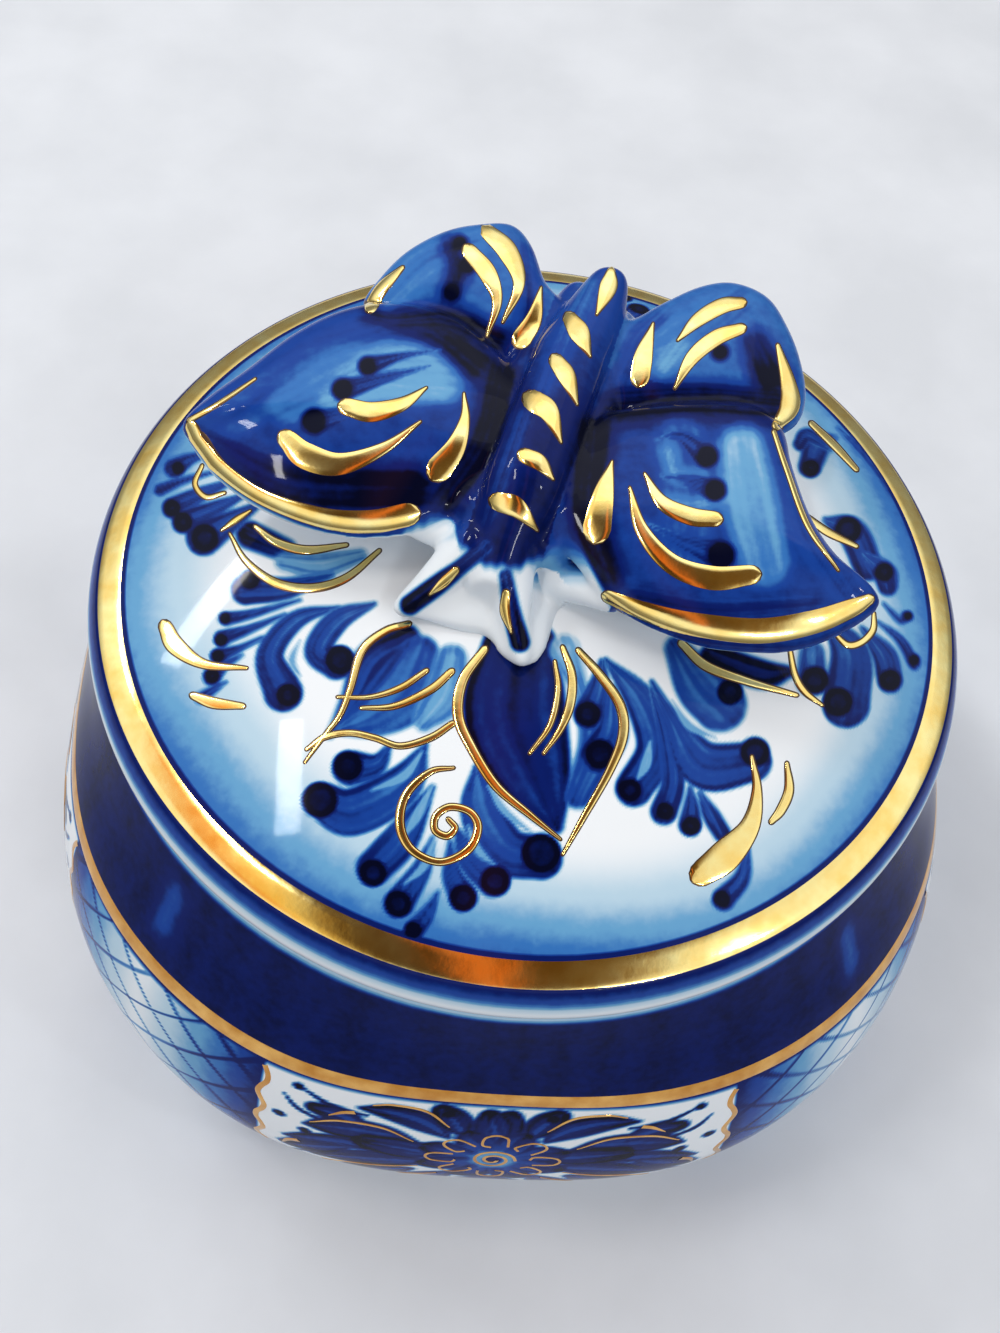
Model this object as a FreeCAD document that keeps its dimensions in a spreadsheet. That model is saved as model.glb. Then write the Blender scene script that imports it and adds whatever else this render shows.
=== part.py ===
import FreeCAD, Part
import math
import os
import Sketcher

# A lidded porcelain box: a bowl whose round mouth swells into a rounded square belly, a round domed
# lid that drops into the mouth, and a butterfly luted to the dome as the knob that lifts the lid.
# Millimetres, +Z up, the origin on the table under the middle of the foot, the front panel facing -Y.

doc = FreeCAD.newDocument("lidded_box")

# Driving dimensions

sheet = doc.addObject("Spreadsheet::Sheet", "sizes")
SIZES = {
    # bowl: each station of its outside has a height, a half width across the flats and the extra
    # reach of the corners beyond that half width
    "foot_height": 3.0,
    "foot_half_width": 46.0,
    "foot_corner": 2.4,
    "foot_width": 5.0,
    "foot_recess": 2.0,
    "heel_height": 10.0,
    "heel_half_width": 56.4,
    "heel_corner": 3.3,
    "belly_height": 21.0,
    "belly_half_width": 61.7,
    "belly_corner": 3.8,
    "panel_height": 32.0,
    "panel_half_width": 60.8,
    "panel_corner": 3.8,
    "band_height": 43.4,
    "band_half_width": 57.9,
    "band_corner": 3.6,
    "shoulder_height": 52.5,
    "shoulder_half_width": 54.8,
    "shoulder_corner": 1.9,
    "rim_height": 61.4,
    "rim_radius": 52.8,
    "rim_width": 4.8,
    "lip_depth": 8.0,
    "rim_bevel": 0.6,
    "side_flatness": 0.14,
    "wall": 4.2,
    "floor": 4.0,
    # lid
    "seat_gap": 0.2,
    "mouth_clearance": 0.8,
    "flange_depth": 6.0,
    "flange_wall": 3.2,
    "lid_edge_height": 6.4,
    "lid_edge_inset": 0.8,
    "lid_edge_round": 5.3,
    "dome_rise": 9.5,
    "dome_wall": 3.8,
    # butterfly as a whole
    "knob_turn": -15.2,
    "knob_offset": -2.6,
    "lute": 0.1,
    # butterfly body: stations along its axis, forward of the knob's middle and above the dome's top
    "tail_forward": -31.0,
    "tail_radius": 2.4,
    "tail_lift": 11.4,
    "tail_inset": 0.6,
    "abdomen_forward": -18.0,
    "abdomen_radius": 5.0,
    "abdomen_lift": 8.4,
    "thorax_forward": -2.0,
    "thorax_radius": 5.4,
    "thorax_lift": 8.0,
    "head_forward": 13.0,
    "head_radius": 4.8,
    "head_lift": 5.4,
    "flank": 4.2,
    "stem_forward": -3.0,
    "stem_half_length": 14.0,
    "stem_half_width": 3.4,
    "stem_foot_half_length": 17.0,
    "stem_foot_half_width": 7.0,
    "stem_foot_depth": 4.0,
    # forewings
    "fore_thickness": 5.2,
    "fore_crown": 12.2,
    "fore_crown_span": 19.0,
    "fore_crown_forward": -4.0,
    "fore_crown_radius": 72.0,
    "fore_root_forward": 8.0,
    "fore_front_forward": 12.8,
    "fore_front_span": 22.0,
    "fore_tip_span": 38.8,
    "left_tip_forward": 7.0,
    "right_tip_forward": 3.8,
    "fore_waist_forward": -6.0,
    "fore_waist_span": 30.4,
    "fore_corner_forward": -15.6,
    "fore_corner_span": 25.4,
    "fore_rear_span": 14.0,
    "fore_rear_forward": -17.4,
    "fore_tip_back": 1.6,
    "fore_tip_rise": 2.4,
    "fore_round": 1.5,
    # hindwings
    "wing_gap": 0.6,
    "hind_thickness": 4.4,
    "hind_crown": 9.2,
    "hind_crown_span": 15.0,
    "hind_crown_forward": -27.0,
    "hind_crown_radius": 60.0,
    "hind_shoulder_span": 24.8,
    "hind_shoulder_forward": -19.8,
    "hind_outer_span": 27.4,
    "hind_outer_forward": -24.0,
    "hind_back_forward": -39.6,
    "hind_back_span": 15.0,
    "hind_inner_forward": -28.0,
    "hind_round": 1.4,
    # antennae
    "antenna_crown": 8.4,
    "antenna_crown_radius": 14.0,
    "antenna_underside": 0.9,
    "antenna_root_half_width": 4.8,
    "antenna_outer_span": 9.2,
    "antenna_outer_forward": 17.0,
    "antenna_tip_span": 7.2,
    "antenna_tip_forward": 20.2,
    "antenna_web_forward": 17.6,
    "antenna_round": 1.0,
}
for row, (alias, value) in enumerate(SIZES.items(), start=1):
    sheet.set("A%d" % row, alias)
    sheet.set("B%d" % row, str(value))
    sheet.setAlias("B%d" % row, alias)
doc.recompute()


def size(alias):
    """The value of a named cell."""
    return float(sheet.get(alias))


def bind(feature, **expressions):
    """Tie properties of a feature to the sheet; a double underscore stands for a dot."""
    for name, expression in expressions.items():
        feature.setExpression(name.replace("__", "."), expression)


def add(kind, label, **links):
    """A document object with its links set."""
    feature = doc.addObject(kind, label)
    feature.Label = label
    for name, value in links.items():
        setattr(feature, name, value)
    return feature


def join(kind, label, base, tool):
    """A boolean of two objects: Part::Fuse, Part::Cut or Part::Common."""
    return add(kind, label, Base=base, Tool=tool)


# Bowl: lofts through rounded squares, hollowed by a loft that follows a wall thickness inside them

SECTION_POINTS = 32


def rounded_square(label, height, half_width, corner):
    """A closed smooth outline: half_width across the flats, corner more at the diagonals."""
    points = []
    for step in range(SECTION_POINTS):
        angle = 2 * math.pi * (step + 0.5) / SECTION_POINTS
        square = (1 - math.cos(4 * angle)) / 2
        flat = size("side_flatness") * (1 - math.cos(8 * angle)) / 2
        reach = half_width + corner * (square + flat)
        points.append(FreeCAD.Vector(reach * math.cos(angle), reach * math.sin(angle), height))
    curve = Part.BSplineCurve()
    curve.interpolate(Points=points, PeriodicFlag=True)
    return add("Part::Feature", label, Shape=Part.Wire(curve.toShape()))


def section_loft(label, sections):
    """A smooth solid through sections given as (height, half width, corner)."""
    wires = [rounded_square("%s_section_%d" % (label, n), *s) for n, s in enumerate(sections)]
    return add("Part::Loft", label, Sections=wires, Solid=True, Ruled=False)


def section_prism(label, low, high, half_width, corner):
    """A straight solid on one rounded square."""
    wires = [rounded_square("%s_low" % label, low, half_width, corner),
             rounded_square("%s_high" % label, high, half_width, corner)]
    return add("Part::Loft", label, Sections=wires, Solid=True, Ruled=True)


def station(name):
    """Height, half width and corner of one named station of the bowl's outside."""
    return (size(name + "_height"), size(name + "_half_width"), size(name + "_corner"))


def inside(name, rise=0.0):
    """The same station a wall thickness further in."""
    height, half_width, corner = station(name)
    return (height + rise, half_width - size("wall"), corner)


mouth_radius = size("rim_radius") - size("rim_width")
floor_height = size("foot_recess") + size("floor")
cut_margin = 1.0

outside_names = ["foot", "heel", "belly", "panel", "band", "shoulder"]
rim_start = size("rim_height") - size("rim_bevel")
rim_low = (rim_start, size("rim_radius"), 0.0)
rim_high = (size("rim_height"), size("rim_radius") - size("rim_bevel"), 0.0)
bowl_outside = section_loft("bowl_outside", [station(n) for n in outside_names] + [rim_low])
rim_edge = section_loft("rim_edge", [rim_low, rim_high])
foot = section_prism("foot", 0.0, size("foot_height"), size("foot_half_width"), size("foot_corner"))
recess_half_width = size("foot_half_width") - size("foot_width")
recess = section_prism("recess", -cut_margin, size("foot_recess"), recess_half_width, size("foot_corner"))
lip_height = size("rim_height") - size("lip_depth")
hollow_sections = [
    (floor_height, size("foot_half_width") - size("wall") / 2, size("foot_corner")),
    inside("heel", rise=size("wall")),
    inside("belly"),
    inside("panel"),
    inside("band"),
    (lip_height, mouth_radius, 0.0),
]
chamber = section_loft("chamber", hollow_sections)
mouth = section_prism("mouth", lip_height, size("rim_height") + cut_margin, mouth_radius, 0.0)
hollow = join("Part::Fuse", "hollow", chamber, mouth)
bowl_rimmed = join("Part::Fuse", "bowl_rimmed", bowl_outside, rim_edge)
bowl_mass = join("Part::Fuse", "bowl_mass", bowl_rimmed, foot)
bowl_footed = join("Part::Cut", "bowl_footed", bowl_mass, recess)
bowl = join("Part::Cut", "bowl", bowl_footed, hollow)


def edges_where(feature, chosen):
    """Numbers of the edges whose box passes a test."""
    return [n for n, e in enumerate(feature.Shape.Edges, start=1) if chosen(e.BoundBox)]


EDGE_TOLERANCE = 0.01


def rounded(label, base, chosen, radius):
    """A fillet of one named radius on the edges that pass a test."""
    fillet = add("Part::Fillet", label, Base=base)
    fillet.Edges = [(n, size(radius), size(radius)) for n in edges_where(base, chosen)]
    return fillet


# Lid: one revolved profile, drawn from the seat plane up

lid = add("PartDesign::Body", "lid")
profile = lid.newObject("Sketcher::SketchObject", "lid_profile")
xz_plane = [f for f in lid.Origin.OriginFeatures if f.Role == "XZ_Plane"][0]
profile.AttachmentSupport = [(xz_plane, "")]
profile.MapMode = "FlatFace"

dome_edge_radius = size("rim_radius") - size("lid_edge_inset")
flange_radius = mouth_radius - size("mouth_clearance")
flange_inner = flange_radius - size("flange_wall")
apex = size("lid_edge_height") + size("dome_rise")
dome_radius = (dome_edge_radius ** 2 + size("dome_rise") ** 2) / (2 * size("dome_rise"))
dome_centre = apex - dome_radius
vault_radius = dome_radius - size("dome_wall")
vault_spring = dome_centre + math.sqrt(vault_radius ** 2 - flange_inner ** 2)


def flat(x, z):
    """A point of the profile's plane."""
    return FreeCAD.Vector(x, z, 0)


def dome_arc(radius, edge):
    """An arc about the dome's centre, from the edge point to the axis."""
    circle = Part.Circle(flat(0, dome_centre), FreeCAD.Vector(0, 0, 1), radius)
    start = math.atan2(edge.y - dome_centre, edge.x)
    return Part.ArcOfCircle(circle, start, math.pi / 2)


corners = {
    "edge_top": flat(dome_edge_radius, size("lid_edge_height")),
    "seat_out": flat(size("rim_radius"), 0),
    "seat_in": flat(flange_radius, 0),
    "flange_out": flat(flange_radius, -size("flange_depth")),
    "flange_in": flat(flange_inner, -size("flange_depth")),
    "spring": flat(flange_inner, vault_spring),
}
chord = corners["edge_top"] - corners["seat_out"]
chord_middle = (corners["edge_top"] + corners["seat_out"]) / 2
outward = flat(chord.y, -chord.x).normalize()
sagitta = size("lid_edge_round") - math.sqrt(size("lid_edge_round") ** 2 - (chord.Length / 2) ** 2)
bead_middle = chord_middle + outward * sagitta
DOME, BEAD, SEAT, FLANGE_OUT, FLANGE_FOOT, FLANGE_IN, VAULT, AXIS = range(8)
START, END, CENTRE = 1, 2, 3
profile.addGeometry([
    dome_arc(dome_radius, corners["edge_top"]),
    Part.Arc(corners["seat_out"], bead_middle, corners["edge_top"]),
    Part.LineSegment(corners["seat_out"], corners["seat_in"]),
    Part.LineSegment(corners["seat_in"], corners["flange_out"]),
    Part.LineSegment(corners["flange_out"], corners["flange_in"]),
    Part.LineSegment(corners["flange_in"], corners["spring"]),
    dome_arc(vault_radius, corners["spring"]),
    Part.LineSegment(flat(0, apex - size("dome_wall")), flat(0, apex)),
], False)
touching = [
    (DOME, START, BEAD, END), (BEAD, START, SEAT, START), (SEAT, END, FLANGE_OUT, START),
    (FLANGE_OUT, END, FLANGE_FOOT, START), (FLANGE_FOOT, END, FLANGE_IN, START),
    (FLANGE_IN, END, VAULT, START), (VAULT, END, AXIS, START), (AXIS, END, DOME, END),
]
H_AXIS, V_AXIS, ORIGIN = -1, -2, -1
for first, first_end, second, second_end in touching:
    profile.addConstraint(Sketcher.Constraint("Coincident", first, first_end, second, second_end))
profile.addConstraint(Sketcher.Constraint("Coincident", DOME, CENTRE, VAULT, CENTRE))
profile.addConstraint(Sketcher.Constraint("PointOnObject", DOME, CENTRE, V_AXIS))
profile.addConstraint(Sketcher.Constraint("PointOnObject", AXIS, END, V_AXIS))
profile.addConstraint(Sketcher.Constraint("PointOnObject", SEAT, START, H_AXIS))
for line in (AXIS, FLANGE_OUT, FLANGE_IN):
    profile.addConstraint(Sketcher.Constraint("Vertical", line))
for line in (SEAT, FLANGE_FOOT):
    profile.addConstraint(Sketcher.Constraint("Horizontal", line))


def dimension(name, expression, kind, *ends):
    """A named driving constraint of the lid's profile, tied to the sheet."""
    number = profile.addConstraint(Sketcher.Constraint(kind, *ends))
    profile.renameConstraint(number, name)
    profile.setExpression("Constraints." + name, expression)


FLANGE_RADIUS = "sizes.rim_radius - sizes.rim_width - sizes.mouth_clearance"
EDGE_RADIUS = "sizes.rim_radius - sizes.lid_edge_inset"
APEX = "sizes.lid_edge_height + sizes.dome_rise"
dimension("seat_radius", "sizes.rim_radius", "DistanceX", ORIGIN, START, SEAT, START, size("rim_radius"))
dimension("flange_radius", FLANGE_RADIUS, "DistanceX", ORIGIN, START, SEAT, END, flange_radius)
dimension("flange_depth", "sizes.flange_depth", "DistanceY",
          FLANGE_OUT, END, FLANGE_OUT, START, size("flange_depth"))
dimension("flange_wall", "sizes.flange_wall", "DistanceX",
          FLANGE_FOOT, END, FLANGE_FOOT, START, size("flange_wall"))
dimension("edge_radius", EDGE_RADIUS, "DistanceX", ORIGIN, START, DOME, START, dome_edge_radius)
dimension("edge_height", "sizes.lid_edge_height", "DistanceY",
          ORIGIN, START, DOME, START, size("lid_edge_height"))
dimension("edge_round", "sizes.lid_edge_round", "Radius", BEAD, size("lid_edge_round"))
dimension("apex_height", APEX, "DistanceY", ORIGIN, START, AXIS, END, apex)
dimension("dome_wall", "sizes.dome_wall", "DistanceY", AXIS, START, AXIS, END, size("dome_wall"))

turned = lid.newObject("PartDesign::Revolution", "lid_turned")
turned.Profile = profile
turned.ReferenceAxis = (profile, ["V_Axis"])
turned.Angle = 360
bind(lid, Placement__Base__z="sizes.rim_height + sizes.seat_gap")

# Butterfly: its pieces are drawn with the dome's top at height 0 and the head towards -Y, then
# turned and set on the dome together. Left and right are as seen from the front.

knob_turn = FreeCAD.Rotation(FreeCAD.Vector(0, 0, 1), size("knob_turn"))
knob_height = size("rim_height") + size("seat_gap") + apex
knob_middle = knob_turn.multVec(FreeCAD.Vector(size("knob_offset"), 0, 0)) + FreeCAD.Vector(0, 0, knob_height)
KNOB = FreeCAD.Placement(knob_middle, knob_turn)
UPRIGHT = FreeCAD.Rotation(FreeCAD.Vector(1, 0, 0), 90)


def ball(label, place, radius):
    """A sphere with its poles level, so that no pole lies on a visible face."""
    sphere = add("Part::Sphere", label, Placement=FreeCAD.Placement(place, UPRIGHT))
    bind(sphere, Radius=radius)
    return sphere


def spot(span, forward, lift):
    """A point of the butterfly from its distances across, forward and up."""
    return FreeCAD.Vector(span, -forward, lift)


def dome_ball(label, clearance):
    """The dome's own sphere, grown by a clearance, as the butterfly meets it."""
    place = spot(-size("knob_offset"), 0, -dome_radius)
    return ball(label, place, "%.9f + %s" % (dome_radius, clearance))


# Body: circles lofted from tail to head, with flat flanks for the wings, on a flared stem

rings = []
for name in ("tail", "abdomen", "thorax", "head"):
    ring = add("Part::Circle", name + "_ring")
    place = spot(0, size(name + "_forward"), size(name + "_lift"))
    ring.Placement = FreeCAD.Placement(place, UPRIGHT)
    bind(ring, Radius="sizes.%s_radius" % name)
    rings.append(ring)
trunk = add("Part::Loft", "trunk", Sections=rings, Solid=True, Ruled=False)
tail_middle = size("tail_forward") + size("tail_inset")
tail_end = ball("tail_end", spot(0, tail_middle, size("tail_lift")), "sizes.tail_radius")
tailed = join("Part::Fuse", "tailed", trunk, tail_end)
reach = 2 * (size("head_forward") - size("tail_forward"))
flanks = add("Part::Box", "flanks", Length=2 * size("flank"), Width=2 * reach, Height=2 * reach)
flanks.Placement.Base = FreeCAD.Vector(-size("flank"), -reach, -reach)
flanked = join("Part::Common", "flanked", tailed, flanks)

CROSSWISE = FreeCAD.Rotation(FreeCAD.Vector(0, 0, 1), 90)
stem_rings = []
for name, lift in (("stem_foot", -size("stem_foot_depth")), ("stem", size("thorax_lift"))):
    ring = add("Part::Ellipse", name + "_ring")
    ring.Placement = FreeCAD.Placement(spot(0, size("stem_forward"), lift), CROSSWISE)
    bind(ring, MajorRadius="sizes.%s_half_length" % name, MinorRadius="sizes.%s_half_width" % name)
    stem_rings.append(ring)
stem = add("Part::Loft", "stem", Sections=stem_rings, Solid=True, Ruled=True)
body_mass = join("Part::Fuse", "body_mass", flanked, stem)
butterfly_body = join("Part::Cut", "butterfly_body", body_mass, dome_ball("body_seat", "sizes.lute"))

# Wings: an outline drawn from above, extruded and trimmed to a shell of even thickness between two
# concentric spheres, then rounded everywhere but at the root

root = size("flank") + size("lute")


def smooth(points):
    """A smooth open curve through points."""
    curve = Part.BSplineCurve()
    curve.interpolate(points)
    return curve.toShape()


def outlined(label, edges):
    """A flat face inside edges that run from the root round to the root."""
    closing = Part.LineSegment(edges[-1].lastVertex().Point, edges[0].firstVertex().Point).toShape()
    return add("Part::Feature", label, Shape=Part.Face(Part.Wire(edges + [closing])))


def raised(label, face, height):
    """A flat face extruded upwards by an expression of the sheet."""
    prism = add("Part::Extrusion", label, Base=face, Solid=True)
    prism.DirMode = "Custom"
    prism.Dir = FreeCAD.Vector(0, 0, 1)
    bind(prism, LengthFwd=height)
    return prism


def at(span, forward):
    """A point of the left wings' outlines."""
    return spot(-span, forward, 0)


def wing(label, prefix, prism):
    """One left wing: a prism trimmed to a crowned shell and rounded off the root."""
    crown = spot(-size(prefix + "_crown_span"), size(prefix + "_crown_forward"),
                 size(prefix + "_crown") - size(prefix + "_crown_radius"))
    top = ball(label + "_top", crown, "sizes.%s_crown_radius" % prefix)
    under = ball(label + "_under", crown, "sizes.%s_crown_radius - sizes.%s_thickness" % (prefix, prefix))
    slab = join("Part::Common", label + "_slab", prism, top)
    shell = join("Part::Cut", label + "_shell", slab, under)
    doc.recompute()
    return rounded(label, shell, lambda box: box.XMin < -root - EDGE_TOLERANCE, prefix + "_round")


def placed(label, side, wing_shape):
    """The wing itself on the left, its mirror image on the right."""
    if side == "left":
        wing_shape.Label = label
        return wing_shape
    return add("Part::Mirroring", label, Source=wing_shape, Normal=FreeCAD.Vector(1, 0, 0))


WING_ROOM = "sizes.fore_crown + sizes.fore_thickness"
wings = []
for name in ("left", "right"):
    tip_forward = size(name + "_tip_forward")
    fore_edge = smooth([at(root, size("fore_root_forward")),
                        at(size("fore_front_span"), size("fore_front_forward")),
                        at(size("fore_tip_span") - size("fore_tip_back"), tip_forward + size("fore_tip_rise")),
                        at(size("fore_tip_span"), tip_forward),
                        at(size("fore_waist_span"), size("fore_waist_forward")),
                        at(size("fore_corner_span"), size("fore_corner_forward")),
                        at(size("fore_rear_span"), size("fore_rear_forward")),
                        at(root, size("fore_rear_forward"))])
    fore_face = outlined(name + "_fore_outline", [fore_edge])
    fore_prism = raised(name + "_fore_prism", fore_face, WING_ROOM)
    forewing = wing(name + "_fore_drawn", "fore", fore_prism)
    wings.append(placed(name + "_forewing", name, forewing))
    hind_edge = smooth([at(root, size("fore_rear_forward") - size("wing_gap")),
                        at(size("fore_rear_span"), size("fore_rear_forward") - size("wing_gap")),
                        at(size("hind_shoulder_span"), size("hind_shoulder_forward")),
                        at(size("hind_outer_span"), size("hind_outer_forward")),
                        at(size("hind_back_span"), size("hind_back_forward")),
                        at(root, size("hind_inner_forward"))])
    hind_face = outlined(name + "_hind_outline", [hind_edge])
    hind_prism = raised(name + "_hind_prism", hind_face, WING_ROOM)
    hindwing = wing(name + "_hind_drawn", "hind", hind_prism)
    wings.append(placed(name + "_hindwing", name, hindwing))

# Antennae: two lobes and the web between them, thick at the head and thinning forward

root_forward = size("head_forward") + size("lute")
lobe_edge = smooth([
    spot(size("antenna_root_half_width"), root_forward, size("antenna_underside")),
    spot(size("antenna_outer_span"), size("antenna_outer_forward"), size("antenna_underside")),
    spot(size("antenna_tip_span"), size("antenna_tip_forward"), size("antenna_underside")),
    spot(0, size("antenna_web_forward"), size("antenna_underside")),
    spot(-size("antenna_tip_span"), size("antenna_tip_forward"), size("antenna_underside")),
    spot(-size("antenna_outer_span"), size("antenna_outer_forward"), size("antenna_underside")),
    spot(-size("antenna_root_half_width"), root_forward, size("antenna_underside")),
])
lobe_prism = raised("lobe_prism", outlined("lobes", [lobe_edge]), "sizes.antenna_crown")
lobe_crown = spot(0, root_forward, size("antenna_crown") - size("antenna_crown_radius"))
lobe_top = ball("lobe_top", lobe_crown, "sizes.antenna_crown_radius")
lobe_shell = join("Part::Common", "lobe_shell", lobe_prism, lobe_top)
doc.recompute()
antennae = rounded("butterfly_antennae", lobe_shell, lambda box: box.YMin < -root_forward - EDGE_TOLERANCE, "antenna_round")

# Every object has to be sound before anything is written

doc.recompute()
for piece in [butterfly_body] + wings + [antennae]:
    piece.Placement = KNOB
pieces = [bowl, lid, butterfly_body] + wings + [antennae]
for feature in doc.Objects:
    if "Invalid" in feature.State or "Error" in feature.State:
        raise RuntimeError("%s did not recompute: %s" % (feature.Label, feature.State))
os.makedirs("parts", exist_ok=True)
for piece in pieces:
    shape = piece.Shape
    if shape.isNull() or not shape.isValid() or len(shape.Solids) != 1:
        raise RuntimeError("%s is not one valid solid" % piece.Label)
    print("%-20s %9.1f mm3" % (piece.Label, shape.Volume))
for piece in pieces:
    piece.Shape.exportStep("parts/%s.step" % piece.Label)
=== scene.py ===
import math

import bmesh
import bpy
import numpy as np
from mathutils import Matrix, Vector
from mathutils.bvhtree import BVHTree


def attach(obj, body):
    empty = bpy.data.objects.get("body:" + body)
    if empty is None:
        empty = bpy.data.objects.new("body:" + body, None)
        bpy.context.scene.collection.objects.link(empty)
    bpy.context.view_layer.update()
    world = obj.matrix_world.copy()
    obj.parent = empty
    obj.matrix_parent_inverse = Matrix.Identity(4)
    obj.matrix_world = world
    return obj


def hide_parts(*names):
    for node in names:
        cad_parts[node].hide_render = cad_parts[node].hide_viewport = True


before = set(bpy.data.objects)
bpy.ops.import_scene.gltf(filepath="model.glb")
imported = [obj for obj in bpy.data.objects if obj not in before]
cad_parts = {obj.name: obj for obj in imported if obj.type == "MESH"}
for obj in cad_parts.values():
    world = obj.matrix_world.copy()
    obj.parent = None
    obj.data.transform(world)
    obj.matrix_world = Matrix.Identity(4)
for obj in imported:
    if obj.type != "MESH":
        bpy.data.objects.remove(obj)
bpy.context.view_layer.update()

# Camera: held by hand over the front of the box, a little to its left and tilted, looking down on the lid.
# The brush work is laid out in the picture's own pixels, so the camera is set up before the painting.

MM = 0.001
PICTURE = (1000, 1333)
FOCAL_PIXELS = 1400
SENSOR_WIDTH = 36.0
EYE = np.array((-13.09, -96.93, 208.87))
ELEVATION = math.radians(59.14)
SWING = math.radians(6.4)
ROLL = math.radians(9.38)

eye_back = np.array((-math.sin(SWING) * math.cos(ELEVATION), -math.cos(SWING) * math.cos(ELEVATION),
                     math.sin(ELEVATION)))
level_right = np.array((math.cos(SWING), -math.sin(SWING), 0.0))
level_up = np.cross(eye_back, level_right)
eye_right = math.cos(ROLL) * level_right + math.sin(ROLL) * level_up
eye_up = math.cos(ROLL) * level_up - math.sin(ROLL) * level_right


def stand(name, data):
    """Puts a new object into the scene."""
    piece = bpy.data.objects.new(name, data)
    bpy.context.scene.collection.objects.link(piece)
    return piece


camera = stand("camera", bpy.data.cameras.new("camera"))
camera.data.sensor_fit = "HORIZONTAL"
camera.data.sensor_width = SENSOR_WIDTH
camera.data.lens = FOCAL_PIXELS / PICTURE[0] * SENSOR_WIDTH
camera.data.clip_start = 0.005
turn = Matrix(np.stack((eye_right, eye_up, eye_back), axis=1).tolist()).to_4x4()
camera.matrix_world = Matrix.Translation(Vector(EYE * MM)) @ turn
bpy.context.scene.camera = camera


def picture_place(points):
    """Pixels at which points of the object, in millimetres, are seen."""
    rel = points - EYE
    depth = -(rel @ eye_back)
    across = PICTURE[0] / 2 + FOCAL_PIXELS * (rel @ eye_right) / depth
    down = PICTURE[1] / 2 - FOCAL_PIXELS * (rel @ eye_up) / depth
    return across, down


def sight_line(across, down):
    """Unit direction from the eye through a pixel."""
    ray = eye_right * (across - PICTURE[0] / 2) - eye_up * (down - PICTURE[1] / 2) - eye_back * FOCAL_PIXELS
    return ray / np.linalg.norm(ray)


# Bowl: cast white porcelain, round at the mouth and swelling into a soft square, standing on a foot ring.
# The shoulder is washed in dark cobalt; below a gold band each flat side has a flower panel and each
# corner a net, all painted on the biscuit and covered by one clear glaze.

FOOT_HEIGHT = 3.0
RIM_HEIGHT = 61.4
RIM_RADIUS = 52.8
RIM_BEVEL = 0.6
RIM_WIDTH = 4.8
LIP_DEPTH = 8.0
FLOOR = 6.0
FOOT_WIDTH = 5.0
FOOT_RECESS = 2.0
SIDE_FLATNESS = 0.14
# height, half width across the flats, extra reach of the corners
BOWL_STATIONS = [(3.0, 46.0, 2.4), (10.0, 56.4, 3.3), (21.0, 61.7, 3.8), (32.0, 60.8, 3.8),
                 (43.4, 57.9, 3.6), (52.5, 54.8, 1.9), (RIM_HEIGHT - RIM_BEVEL, RIM_RADIUS, 0.0)]
INSIDE_STATIONS = [(FLOOR, 43.9, 2.4), (14.2, 52.2, 3.3), (21.0, 57.5, 3.8), (32.0, 56.6, 3.8),
                   (43.4, 53.7, 3.6), (RIM_HEIGHT - LIP_DEPTH, RIM_RADIUS - RIM_WIDTH, 0.0)]
# height and step in from the foot's outside or inside, round the foot ring
FOOT_INSIDE_EDGE = [(FOOT_RECESS, 0.0), (0.3, 0.0), (0.0, 0.4)]
FOOT_OUTSIDE_EDGE = [(0.0, 0.6), (0.4, 0.1), (1.5, 0.0)]
AXIS_GAP = 0.5
BOWL_COLUMNS = 840
BOWL_ROW = 0.4
INNER_ROW = 2.0
BAND_LOW = 43.4
BAND_HIGH = 45.8
PANEL_HALF_ANGLE = math.radians(27)
PANEL_RADIUS = 61.0


def natural_spline(knots, values):
    """A function for the smooth curve through values at knots."""
    knots = np.array(knots, float)
    values = np.array(values, float)
    gaps = np.diff(knots)
    count = len(knots)
    system = np.eye(count)
    load = np.zeros(count)
    for k in range(1, count - 1):
        system[k, k - 1:k + 2] = gaps[k - 1], 2 * (gaps[k - 1] + gaps[k]), gaps[k]
        load[k] = 6 * ((values[k + 1] - values[k]) / gaps[k] - (values[k] - values[k - 1]) / gaps[k - 1])
    bend = np.linalg.solve(system, load)

    def curve(at):
        at = np.asarray(at, float)
        k = np.clip(np.searchsorted(knots, at) - 1, 0, count - 2)
        gap = gaps[k]
        low = (knots[k + 1] - at) / gap
        high = 1 - low
        cubic = ((low ** 3 - low) * bend[k] + (high ** 3 - high) * bend[k + 1]) * gap ** 2 / 6
        return low * values[k] + high * values[k + 1] + cubic

    return curve


def wall_curves(stations):
    """Half width and corner of a wall, as smooth functions of the height."""
    heights, halves, corners = zip(*stations)
    return natural_spline(heights, halves), natural_spline(heights, corners)


bowl_half_width, bowl_corner = wall_curves(BOWL_STATIONS)
inside_half_width, inside_corner = wall_curves(INSIDE_STATIONS)


def bowl_reach(angle, half_width, corner):
    """Distance of the bowl's soft square from its axis."""
    square = (1 - np.cos(4 * angle)) / 2
    flat = SIDE_FLATNESS * (1 - np.cos(8 * angle)) / 2
    return half_width + corner * (square + flat)


def at_reach(reach, angle, height):
    """Points at a distance from the axis, an angle and a height."""
    return np.stack(np.broadcast_arrays(reach * np.cos(angle), reach * np.sin(angle), height), axis=-1)


def bowl_wall(angle, height):
    """Points of the bowl's outside."""
    return at_reach(bowl_reach(angle, bowl_half_width(height), bowl_corner(height)), angle, height)


def smooth_piece(name, points, faces):
    """A smooth mesh through points in millimetres, put into the scene."""
    mesh = bpy.data.meshes.new(name)
    mesh.from_pydata((points * MM).tolist(), [], faces)
    mesh.polygons.foreach_set("use_smooth", [True] * len(mesh.polygons))
    return stand(name, mesh)


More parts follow.
